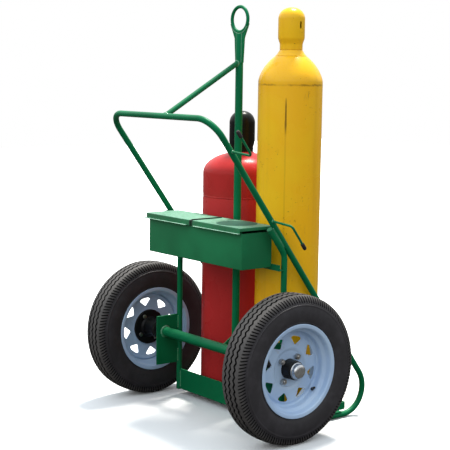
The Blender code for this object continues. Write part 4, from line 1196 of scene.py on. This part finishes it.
def link_mesh(centre, along, across, length, width, wire_r):
    """One chain link: a wire bent into a racetrack."""
    half_run, bend = (length - width) / 2, width / 2 - wire_r
    points = []
    for sign in (1, -1):
        for step in range(9):
            angle = math.radians(-90 + 180 * step / 8)
            out = half_run + bend * math.cos(angle)
            points.append(centre + along * (sign * out) + across * (sign * bend * math.sin(angle)))
    return sweep(points, wire_r, 8, closed=True)


def chain_route():
    """The chain's own route: from the right anchor round the front of both cylinders to the left anchor."""
    clear = 0.008
    ends = {}
    for side, word in SIDES:
        anchor = middle(f"chain_anchor_{word}")
        ends[side] = Vector((anchor.x, high(f"chain_anchor_{word}").y + 0.004, anchor.z))

    def leaves_at(node, end, turn):
        offset = end - middle(node)
        reach = math.hypot(offset.x, offset.y)
        return math.atan2(offset.y, offset.x) + turn * math.acos((half_size(node).x + clear) / reach)

    front = math.radians(84)
    arcs = (("oxygen_cylinder", leaves_at("oxygen_cylinder", ends[1], 1), front, 14),
            ("acetylene_cylinder", front, leaves_at("acetylene_cylinder", ends[-1], -1), 20))
    route = [ends[1]]
    for node, first, last, steps in arcs:
        centre, radius = middle(node), half_size(node).x + clear
        for step in range(steps + 1):
            angle = first + (last - first) * step / steps
            out = X * math.cos(angle) + Y * math.sin(angle)
            route.append(Vector((centre.x, centre.y, ends[1].z)) + out * radius)
    route.append(ends[-1])
    return route


def build_chain():
    """The retaining chain, link by link, with a snap hook at the right anchor."""
    route = chain_route()
    lengths = [0.0]
    for a, b in zip(route, route[1:]):
        lengths.append(lengths[-1] + (b - a).length)
    pitch, hook_length = 0.0185, 0.046
    link_length, link_width, wire_r = 0.0245, 0.0120, 0.0018
    count = int((lengths[-1] - hook_length - 0.004) / pitch)
    parts = []
    for index in range(count):
        distance = hook_length + index * pitch
        segment = next(i for i in range(1, len(lengths)) if lengths[i] >= min(distance, lengths[-1]))
        share = (distance - lengths[segment - 1]) / (lengths[segment] - lengths[segment - 1])
        centre = route[segment - 1].lerp(route[segment], min(share, 1.0))
        along = (route[segment] - route[segment - 1]).normalized()
        flat = along.cross(Z).normalized()
        across = (Z + flat).normalized() if index % 2 else (Z - flat).normalized()
        parts.append(link_mesh(centre, along, across, link_length, link_width, wire_r))
    as_object("chain_links", *joined(*parts), "zinc", "frame", "bright_zinc", ["retaining_chain"], 60)

    along = (route[1] - route[0]).normalized()
    hook = []
    for step in range(25):
        angle = math.radians(-70 + 320 * step / 24)
        hook.append(route[0] + along * (0.020 + 0.017 * math.cos(angle)) + Z * (0.0075 * math.sin(angle)))
    as_object("snap_hook", *sweep(hook, 0.0021, 10), "zinc", "frame", "bright_zinc", (), 60)
    for _, word in SIDES:
        dress_node(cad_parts[f"chain_anchor_{word}"], "green", 0.0015)


# ---------------------------------------------------------------- wheels
WHEEL_CENTRES = {side: (side * MID_PLANE, AXLE.y, AXLE.z) for side, _ in SIDES}
HUB_IN, HUB_OUT = low("hub_right").x, high("hub_right").x
FLANGE_IN, FLANGE_OUT = 0.4173, 0.4252      # the hub's flange, from the cart's middle
RIM_R = 0.166                               # radius of the rim's edge
STUDS, STUD_CIRCLE = 4, 0.0508              # how many, and the radius they stand on


def stud_places(turn):
    """Where the wheel's studs stand, seen along the axle: midway between two windows."""
    for index in range(STUDS):
        angle = turn + math.tau * (index / STUDS + 1 / 16)
        yield index + 1, AXLE.y + STUD_CIRCLE * math.cos(angle), AXLE.z + STUD_CIRCLE * math.sin(angle)


def tyre_section(wheels):
    """Across the tyre: (offset, radius, groove share, zigzag share, slot share) for each column."""
    half = wheels.groove_width / 2
    place = wheels.groove_place
    ribs = [(0.0, 1, 1), (half - 0.0008, 1, 1), (half, 0.10, 1), (half + 0.0006, 0, 1), (place / 2, 0, 1)]
    ribs += [(place - half - 0.0006, 0, 1), (place - half, 0.10, 1), (place - half + 0.0008, 1, 1),
             (place + half - 0.0008, 1, 1), (place + half, 0.10, 1), (place + half + 0.0006, 0, 1)]
    ribs += [(0.0315, 0, 0.5), (0.0345, 0, 0), (0.0380, 0, 0), (0.0408, 0, 0)]
    columns = [(x, TYRE_R - 0.0030 * (x / 0.0425) ** 2.4, groove, zig, 0) for x, groove, zig in ribs]
    shoulder = [(0.0412, 0.2617, 1.0), (0.0428, 0.2610, 1.0), (0.0452, 0.2592, 1.0), (0.0478, 0.2556, 1.0),
                (0.0500, 0.2505, 1.0), (0.0516, 0.2460, 1.0), (0.0527, 0.2415, 1.0), (0.0534, 0.2382, 0.9),
                (0.0538, 0.2372, 0.0), (0.0541, 0.2356, 0.0), (0.0544, 0.2338, 0.0), (0.0548, 0.2328, 0.0),
                (0.0562, 0.2322, 0.0), (0.0567, 0.2304, 0.0), (0.0567, 0.2290, 0.0), (0.0562, 0.2276, 0.0),
                (0.0564, 0.2262, 0.0), (0.0572, 0.2220, 0.0), (0.0585, 0.2130, 0.0),
                (0.0589, 0.2010, 0.0), (0.0584, 0.1890, 0.0), (0.0568, 0.1790, 0.0), (0.0545, 0.1720, 0.0),
                (0.0553, 0.1708, 0.0), (0.0545, 0.1694, 0.0), (0.0522, 0.1680, 0.0), (0.0504, 0.1668, 0.0),
                (0.0503, 0.1600, 0.0), (0.0500, 0.1536, 0.0), (0.0410, 0.1536, 0.0), (0.0470, 0.1720, 0.0),
                (0.0530, 0.2000, 0.0), (0.0480, 0.2400, 0.0), (0.0, 0.2525, 0.0)]
    columns += [(x, r, 0, 0, slot) for x, r, slot in shoulder]
    return columns + [(-x, r, groove, zig, slot) for x, r, groove, zig, slot in columns[-2:0:-1]]


def build_tyres(wheels):
    """Tyres with zigzag grooves, slanting shoulder slots and a ringed sidewall."""
    offset, radius, groove, zig, slot = np.array(tyre_section(wheels)).T[:, None, :]
    pitch_steps = 10
    around = wheels.pitches * pitch_steps
    step = np.arange(around)[:, None]
    phase = (step % pitch_steps) / pitch_steps
    zigzag = np.abs(phase * 2 - 1) * 2 - 1
    in_slot = np.isin(step % pitch_steps, (1, 6)) * slot * wheels.slot_depth
    outward = np.clip((radius - 0.2380) / 0.0235, 0, 1)
    fall = np.clip((0.2600 - radius) / 0.0220, 0, 1)
    angle = (step - 3.2 * fall) * math.tau / around
    reach = radius - groove * wheels.groove_depth - in_slot * outward
    across = offset + zigzag * zig * wheels.zigzag - in_slot * np.sqrt(1 - outward ** 2) * np.sign(offset)
    count = offset.shape[1]
    row = np.arange(around)[:, None] * count
    next_row = np.roll(np.arange(around), -1)[:, None] * count
    col = np.arange(count)[None, :]
    next_col = np.roll(np.arange(count), -1)[None, :]
    quads = np.stack([row + col, next_row + col, next_row + next_col, row + next_col], axis=-1).reshape(-1, 4)
    cut = ((groove >= 0.1) | (in_slot > 0)).astype(int).reshape(-1)
    in_groove = (cut[quads].sum(axis=1) >= 2).astype(np.int32)
    for side, word in SIDES:
        x = side * (MID_PLANE + across)
        y = AXLE.y + reach * np.cos(angle)
        z = AXLE.z + reach * np.sin(angle)
        verts = np.stack([x, y, z], axis=-1).reshape(-1, 3)
        tyre = as_object(f"tyre_tread_{word}", verts.tolist(), quads.tolist(), "tyre", f"wheel_{word}",
                         "tyre_rubber", [f"tyre_{word}"], 32)
        # Faces in the grooves and slots take the darker groove rubber, painted shade.
        tyre.data.materials.append(FINISH["groove"])
        tyre.data.polygons.foreach_set("material_index", in_groove)
        put_at(tyre, WHEEL_CENTRES[side])


def window_outline(turn):
    """A rounded triangular window in the disc, point inwards."""
    corners = [(0.0835, 0.0), (0.1090, 0.0262), (0.1165, 0.0150), (0.1165, -0.0150), (0.1090, -0.0262)]
    soft = softened(corners, 0.0065, 4, closed=True)
    c, s = math.cos(turn), math.sin(turn)
    return [(AXLE.y + r * c - t * s, AXLE.z + r * s + t * c) for r, t in soft]


def build_rims(wheels):
    """Rims: a stepped barrel and a dished disc with pressed triangular windows."""
    edge = [(0.0553, RIM_R - 0.0004), (0.0538, RIM_R), (0.0520, RIM_R - 0.0004), (0.0509, RIM_R - 0.0030),
            (0.0509, 0.1560), (0.0490, 0.1520)]
    section = [(0.0560, RIM_R - 0.0022), *edge, (0.0330, 0.1505), (0.0300, 0.1480), (0.0240, 0.1385),
               (0.0200, 0.1372), (-0.0120, 0.1372), (-0.0160, 0.1385), (-0.0280, 0.1490), (-0.0330, 0.1505)]
    section += [(-x, r) for x, r in edge[::-1]]
    section += [(-0.0560, RIM_R - 0.0022), (-0.0546, 0.1530), (-0.0510, 0.1496), (-0.0330, 0.1477),
                (-0.0285, 0.1455), (-0.0170, 0.1360), (-0.0120, 0.1346), (0.0200, 0.1346), (0.0255, 0.1360),
                (0.0315, 0.1450), (0.0350, 0.1477), (0.0510, 0.1496), (0.0546, 0.1530)]
    barrel = [(MID_PLANE + x, r) for x, r in softened(section, 0.0016, 3, closed=True)]
    face, thick = 0.0013, 0.0035
    front = [(face, 0.0350), (face, 0.0640), (face + 0.0030, 0.0700), (face + 0.0045, 0.0760),
             (face + 0.0030, 0.1180), (face + 0.0002, 0.1235), (face - 0.0010, 0.1280),
             (face + 0.0012, 0.1330), (face + 0.0060, 0.1347)]
    back = [(x - thick, r - 0.0001) for x, r in front[::-1]]
    disc = [(MID_PLANE + x, r) for x, r in softened(front + back, 0.0020, 3, closed=True)]
    for side, word in SIDES:
        body = f"wheel_{word}"
        rim = as_object(f"rim_barrel_{word}", *lathe(barrel, X * side, AXLE, 128, closed=True), "rim", body,
                        "rim_enamel", [f"rim_{word}"], 50)
        put_at(rim, WHEEL_CENTRES[side])
        plate = as_object(f"rim_disc_{word}", *lathe(disc, X * side, AXLE, 120, closed=True), "rim", body,
                          "rim_enamel", (), 35)
        turn = wheels.right_turn if side > 0 else wheels.left_turn
        cutters = []
        near, far = sorted((side * (MID_PLANE - 0.03), side * (MID_PLANE + 0.03)))
        for index in range(wheels.windows):
            outline = window_outline(turn + index * math.tau / wheels.windows)
            cutters.append(extruded(outline, "X", near, far))
        for _, y, z in stud_places(turn):
            cutters.append(loft([circle((near, y, z), X, 0.0070, 20), circle((far, y, z), X, 0.0070, 20)]))
        cut_with(plate, joined(*cutters))
        bevelled(plate, 0.0009, 2, 55)
        put_at(plate, WHEEL_CENTRES[side])
        build_stem(side, word, -math.radians(40))


def cut_with(obj, shape):
    """Cut a shape out of a piece for good."""
    cutter = bpy.data.objects.new("cutter", outward_mesh("cutter", *shape))
    bpy.context.scene.collection.objects.link(cutter)
    modifier = obj.modifiers.new("Cut", "BOOLEAN")
    modifier.operation = "DIFFERENCE"
    modifier.solver = "EXACT"
    modifier.object = cutter
    depsgraph = bpy.context.evaluated_depsgraph_get()
    result = bpy.data.meshes.new_from_object(obj.evaluated_get(depsgraph))
    obj.modifiers.clear()
    obj.data = result
    bpy.data.objects.remove(cutter, do_unlink=True)
    result.shade_smooth()
    result.set_sharp_from_angle(angle=math.radians(35))


def build_stem(side, word, angle):
    """The tyre's valve stem, through the barrel just outboard of the disc."""
    out = Vector((0, math.cos(angle), math.sin(angle)))
    base = Vector((side * (MID_PLANE + 0.012), AXLE.y, AXLE.z)) + out * 0.1335
    heading = (X * side * 0.80 - out * 0.60).normalized()
    profile = softened([(0, 0), (0, 0.0062), (0.002, 0.0062), (0.005, 0.0048), (0.022, 0.0036),
                        (0.023, 0.0044), (0.033, 0.0044), (0.035, 0.0036), (0.035, 0)], 0.0005)
    as_object(f"valve_stem_{word}", *lathe(profile, heading, base, 24), "rubber", f"wheel_{word}",
              "black_rubber")


def hexagon(centre, axis, flats, steps=4):
    """A hexagonal loop with points along its flats."""
    loop = []
    corners = circle(centre, axis, flats / math.sqrt(3), 6)
    for first, second in zip(corners, corners[1:] + corners[:1]):
        for step in range(steps):
            loop.append(first.lerp(second, step / steps))
    return loop


def lug_nut(place, centre, axis, body):
    """A chamfered nut with its conical seat, and the threaded end of its stud."""
    flats, height = 0.0190, 0.0158
    stud_r, stud_out = 0.0058, 0.0196

    def ring(along, radius):
        return circle(centre + axis * along, axis, radius, 24)

    def six_sides(along):
        return hexagon(centre + axis * along, axis, flats)

    loops = [ring(0.0002, stud_r * 1.05), ring(0.0010, flats * 0.44), ring(0.0030, flats * 0.50),
             six_sides(0.0042), six_sides(height - 0.0022), ring(height - 0.0002, flats * 0.49),
             ring(height, flats * 0.40), ring(height - 0.0004, stud_r * 1.1)]
    threads = [(0, 0), (0, stud_r)]
    turns = 5
    for index in range(turns):
        along = height - 0.002 + (stud_out - height + 0.001) * index / turns
        threads += [(along, stud_r), (along + 0.0006, stud_r * 0.90)]
    threads += [(stud_out, stud_r * 0.86), (stud_out, 0)]
    parts = joined(loft(loops), lathe(threads, axis, centre, 20))
    as_object(f"lug_nut_piece_{place}", *parts, "steel", body, "plated_steel", [f"lug_nut_{place}"], 30)


def build_hubs(wheels):
    """Hubs, dust caps, lug nuts and stud heads."""
    seat_r, seat_depth, bore_r = 0.0258, 0.0164, 0.020
    casting = [(HUB_IN, seat_r), (HUB_IN, 0.0312), (HUB_IN + 0.004, 0.0322), (0.4110, 0.0350),
               (FLANGE_IN, 0.0420), (FLANGE_IN, 0.0680), (FLANGE_IN + 0.0015, 0.0695), (FLANGE_OUT, 0.0695),
               (FLANGE_OUT, 0.0341), (HUB_OUT - 0.002, 0.0337), (HUB_OUT, 0.0320), (HUB_OUT, seat_r),
               (HUB_OUT - seat_depth, seat_r), (HUB_OUT - seat_depth, bore_r),
               (HUB_IN + seat_depth, bore_r), (HUB_IN + seat_depth, seat_r)]
    casting = softened(casting, 0.0012, 3, closed=True)
    seal = softened([(HUB_IN - 0.0012, 0.0150), (HUB_IN - 0.0012, 0.0262), (HUB_IN + 0.0002, 0.0300),
                     (HUB_IN + 0.0010, 0.0300), (HUB_IN + 0.0010, 0.0150)], 0.0006, closed=True)
    cap_in = HUB_OUT + GAP
    outside = [(cap_in, 0.0262), (cap_in, 0.0296), (cap_in + 0.0012, 0.0300), (cap_in + 0.0030, 0.0300),
               (cap_in + 0.0042, 0.0290), (cap_in + 0.0048, 0.0272), (cap_in + 0.0145, 0.0262),
               (cap_in + 0.0180, 0.0246), (cap_in + 0.0206, 0.0214), (cap_in + 0.0222, 0.0165),
               (cap_in + 0.0230, 0.0105), (cap_in + 0.0233, 0.0)]
    wall = 0.0012
    inside = [(along - wall, max(r - wall, 0)) for along, r in outside[:1:-1]]
    cap = softened(outside, 0.0010, 3) + softened(inside, 0.0008, 2)[:-1] + [(cap_in, 0.0250)]
    head = softened([(0, 0), (0, 0.0078), (0.0012, 0.0084), (0.0046, 0.0084), (0.0046, 0)], 0.0008)
    nut_in, head_in = 0.4292, 0.4126
    for side, word in SIDES:
        body = f"wheel_{word}"
        axis = X * side
        hub = as_object(f"hub_casting_{word}", *lathe(casting, axis, AXLE, 72, closed=True), "hub", body,
                        "hub_black", [f"hub_{word}"], 35)
        put_at(hub, WHEEL_CENTRES[side])
        as_object(f"grease_seal_{word}", *lathe(seal, axis, AXLE, 48, closed=True), "rubber", body,
                  "black_rubber", (), 35)
        dust = as_object(f"dust_cap_shell_{word}", *lathe(cap, axis, AXLE, 72), "zinc", body, "bright_zinc",
                         [f"dust_cap_{word}"], 40)
        put_at(dust, WHEEL_CENTRES[side])
        turn = wheels.right_turn if side > 0 else wheels.left_turn
        for number, y, z in stud_places(turn):
            lug_nut(f"{word}_{number}", Vector((side * nut_in, y, z)), axis, body)
            as_object(f"stud_head_{word}_{number}", *lathe(head, axis, (side * head_in, y, z), 24), "steel",
                      body, "plated_steel")
        for name in ("inner_bearing", "outer_bearing"):
            dress_node(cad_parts[f"{name}_{word}"], "steel")


# ---------------------------------------------------------------- gas cylinders
def shoulder_profile(radius, neck_radius, start, end, power, steps):
    share = (1 - (neck_radius / radius) ** power) ** (1 / power)
    height = (end - start) / share
    for step in range(steps + 1):
        rise = (end - start) * math.sin(math.pi / 2 * step / steps)
        yield rise + start, radius * (1 - (rise / height) ** power) ** (1 / power)


def build_cylinders():
    """Both cylinder shells, with their foot, shoulder, weld seam and neck."""
    seam_dips = ((-0.009, 0), (-0.006, 0.0009), (-0.003, 0.0012), (0, 0), (0.003, 0.0012), (0.006, 0.0009),
                 (0.009, 0))
    fillet, outlet_r, outlet_bore = 0.014, 0.0185, 0.0125
    for gas, finish, slot, shoulder_z, neck_z, neck_r, power, seam in (
            ("oxygen", "yellow", "yellow_enamel", 1.250, 1.3436, 0.0575, 1.6, None),
            ("acetylene", "red", "red_enamel", 0.895, 0.973, 0.0530, 2.0, RED_SEAM)):
        node = f"{gas}_cylinder"
        base = middle(node)
        radius = half_size(node).x
        foot = low(node).z
        body = [(foot + 0.004, 0), (foot + 0.003, radius * 0.55), (foot, radius * 0.62),
                (foot, radius * 0.90)]
        body += list(arc_points((foot + fillet, radius - fillet), fillet, 180, 90, 8))
        if seam:
            body += [(seam + lift, radius - 0.0004 - dip) for lift, dip in seam_dips]
        body += list(shoulder_profile(radius, neck_r, shoulder_z, neck_z, power, 28))
        top = high(node).z
        if gas == "oxygen":
            body.append((neck_z, outlet_r))
        else:
            collar = low("acetylene_cap").z - GAP
            body += [(neck_z + 0.001, 0.0500), (collar, 0.0445), (collar, outlet_r)]
        body += [(top, outlet_r), (top, outlet_bore), (neck_z - 0.01, outlet_bore), (neck_z - 0.01, 0)]
        on_floor = (base.x, base.y, 0)
        shell = as_object(f"{gas}_shell", *lathe(body, Z, on_floor, 160), finish, gas, slot, [node], 30)
        put_at(shell, on_floor)
    dress_ring()
    for gas in ("oxygen", "acetylene"):
        dress_node(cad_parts[f"{gas}_valve"], "brass", 0.0006)
        build_handwheel(gas)


def dress_ring():
    """The oxygen cylinder's neck ring: a short cone with a rolled lower edge."""
    node = "oxygen_neck_ring"
    a, b = low(node).z, high(node).z
    on_floor = (middle(node).x, middle(node).y, 0)
    outer, inner, bore = half_size(node).x, 0.0420, 0.0190
    profile = [(a, bore), (a, outer - 0.0006), (a + 0.0012, outer), (a + 0.0026, outer - 0.0014),
               (a + 0.010, inner + 0.0070), (b - 0.003, inner + 0.0012), (b, inner), (b, bore)]
    cone = lathe(softened(profile, 0.0008, 3, closed=True), Z, on_floor, 96, closed=True)
    ring = as_object("neck_ring_cone", *cone, "yellow", "oxygen", "yellow_enamel", [node], 30)
    put_at(ring, on_floor)


def build_handwheel(gas):
    """A lobed handwheel on the valve's stem."""
    node = f"{gas}_handwheel"
    centre, radius = middle(node), half_size(node).x
    a, b = low(node).z, high(node).z
    rows = ((a, 0.86, True), (a + 0.0012, 0.94, True), (a + 0.003, 1.0, True), (b - 0.003, 1.0, True),
            (b - 0.0012, 0.94, True), (b, 0.84, True), (b - 0.001, 0.66, False), (b - 0.004, 0.60, False),
            (b - 0.004, 0.28, False), (b - 0.0002, 0.22, False))
    loops = []
    for height, share, lobed in rows:
        loop = []
        for step in range(96):
            angle = math.tau * step / 96
            r = radius * share
            if lobed:
                r *= 0.965 + 0.035 * math.cos(8 * angle)
            loop.append((centre.x + r * math.cos(angle), centre.y + r * math.sin(angle), height))
        loops.append(loop)
    as_object(f"{gas}_knob", *loft(loops), "hub", f"{gas}_handwheel", "hub_black", [node], 35)


def build_caps():
    """Valve guard caps: hollow, domed, with a vent slot on each side."""
    wall, half_w, half_h = 0.003, 0.0042, 0.0130
    vent = softened([(-half_w, -half_h), (half_w, -half_h), (half_w, half_h), (-half_w, half_h)], 0.0040, 4,
                    closed=True)
    for gas, finish, slot, neck_r, body_r, waist, dome, slot_z, turn in (
            ("oxygen", "yellow", "yellow_enamel", 0.0415, 0.0485, 0.022, 0.042, 1.455, math.radians(3)),
            ("acetylene", "cap", "black_cap_enamel", 0.0440, 0.0495, 0.016, 0.046, 1.062, math.radians(40))):
        node = f"{gas}_cap"
        on_floor = (middle(node).x, middle(node).y, 0)
        a, b = low(node).z, high(node).z
        swell = a + waist + 0.018
        outer = [(a, neck_r - 0.0012), (a + 0.0012, neck_r), (a + waist, neck_r), (swell, body_r - 0.0006),
                 (swell + 0.006, body_r)]
        for step in range(19):
            angle = math.pi / 2 * step / 18
            outer.append((b - dome + dome * math.sin(angle), body_r * math.cos(angle) ** 0.9))
        outer[-1] = (b, 0)
        inner = [(a, neck_r - wall), (a + waist, neck_r - wall), (swell, body_r - wall),
                 (b - dome, body_r - wall)]
        for step in range(1, 11):
            angle = math.pi / 2 * step / 10
            inner.append((b - dome + (dome - wall) * math.sin(angle), (body_r - wall) * math.cos(angle)))
        inner[-1] = (b - wall, 0)
        outer = outer[:1] + softened(outer[1:5], 0.004, 4) + outer[5:]
        cap = as_object(f"{gas}_guard", *lathe(inner[::-1] + outer, Z, on_floor, 96), finish, node, slot,
                        [node], 35)
        turned = Matrix.Rotation(turn, 3, "Z")
        cut_with(cap, loft([[Vector(on_floor) + turned @ Vector((reach, across, slot_z + rise))
                             for across, rise in vent] for reach in (-0.08, 0.08)]))
        bevelled(cap, 0.0006, 2, 60)
        put_at(cap, on_floor)


# ---------------------------------------------------------------- operators
class CART_OT_stage(bpy.types.Operator):
    """Build the floor, the lights and the camera"""
    bl_idname = "cart.stage"
    bl_label = "Stage"

    def execute(self, context):
        stage = context.scene.cart_stage
        build_camera(stage)
        build_floor()
        build_sky(stage)
        build_sun(stage)
        build_effects()
        build_finishes(context.scene.cart_finish)
        return {"FINISHED"}


class CART_OT_tubes(bpy.types.Operator):
    """Build the handle, the uprights, the mast and its brace"""
    bl_idname = "cart.tubes"
    bl_label = "Tube frame"

    def execute(self, context):
        tubes = context.scene.cart_tubes
        build_handle(tubes)
        build_uprights(tubes)
        build_mast(tubes)
        build_lifting_eye()
        return {"FINISHED"}


class CART_OT_tray(bpy.types.Operator):
    """Build the tray under the cylinders, the axle and its plates"""
    bl_idname = "cart.tray"
    bl_label = "Tray and axle"

    def execute(self, context):
        build_tray()
        build_axle()
        return {"FINISHED"}


class CART_OT_toolbox(bpy.types.Operator):
    """Build the toolbox and its two lids"""
    bl_idname = "cart.toolbox"
    bl_label = "Toolbox"

    def execute(self, context):
        build_toolbox()
        build_lids()
        return {"FINISHED"}


class CART_OT_hooks(bpy.types.Operator):
    """Build the hose hooks and the retaining chain"""
    bl_idname = "cart.hooks"
    bl_label = "Hooks and chain"

    def execute(self, context):
        build_hose_hooks(context.scene.cart_tubes)
        build_chain()
        return {"FINISHED"}


class CART_OT_wheels(bpy.types.Operator):
    """Build the tyres, rims and hubs"""
    bl_idname = "cart.wheels"
    bl_label = "Wheels"

    def execute(self, context):
        wheels = context.scene.cart_wheels
        build_tyres(wheels)
        build_rims(wheels)
        build_hubs(wheels)
        return {"FINISHED"}


class CART_OT_cylinders(bpy.types.Operator):
    """Build the gas cylinders and their valve caps"""
    bl_idname = "cart.cylinders"
    bl_label = "Gas cylinders"

    def execute(self, context):
        build_cylinders()
        build_caps()
        return {"FINISHED"}


OPERATORS = (CART_OT_stage, CART_OT_tubes, CART_OT_tray, CART_OT_toolbox, CART_OT_hooks, CART_OT_wheels,
             CART_OT_cylinders)


class CART_PT_panel(bpy.types.Panel):
    """Lists the cart's settings and the steps that build it"""
    bl_idname = "CART_PT_panel"
    bl_label = "Torch Cart"
    bl_space_type = "VIEW_3D"
    bl_region_type = "UI"
    bl_category = "Torch Cart"

    def draw(self, context):
        for operator in OPERATORS:
            self.layout.operator(operator.bl_idname)
        for name, group in SETTINGS.items():
            box = self.layout.box()
            for label in group.__annotations__:
                box.prop(getattr(context.scene, name), label)


def register():
    for cls in (*SETTINGS.values(), *OPERATORS, CART_PT_panel):
        bpy.utils.register_class(cls)
    for name, group in SETTINGS.items():
        setattr(bpy.types.Scene, name, PointerProperty(type=group))


def unregister():
    for name in SETTINGS:
        delattr(bpy.types.Scene, name)
    for cls in (CART_PT_panel, *OPERATORS[::-1], *list(SETTINGS.values())[::-1]):
        bpy.utils.unregister_class(cls)


def main():
    register()
    bpy.ops.cart.stage()
    bpy.ops.cart.tubes()
    bpy.ops.cart.tray()
    bpy.ops.cart.toolbox()
    bpy.ops.cart.hooks()
    bpy.ops.cart.wheels()
    bpy.ops.cart.cylinders()


if __name__ == "__main__":
    main()
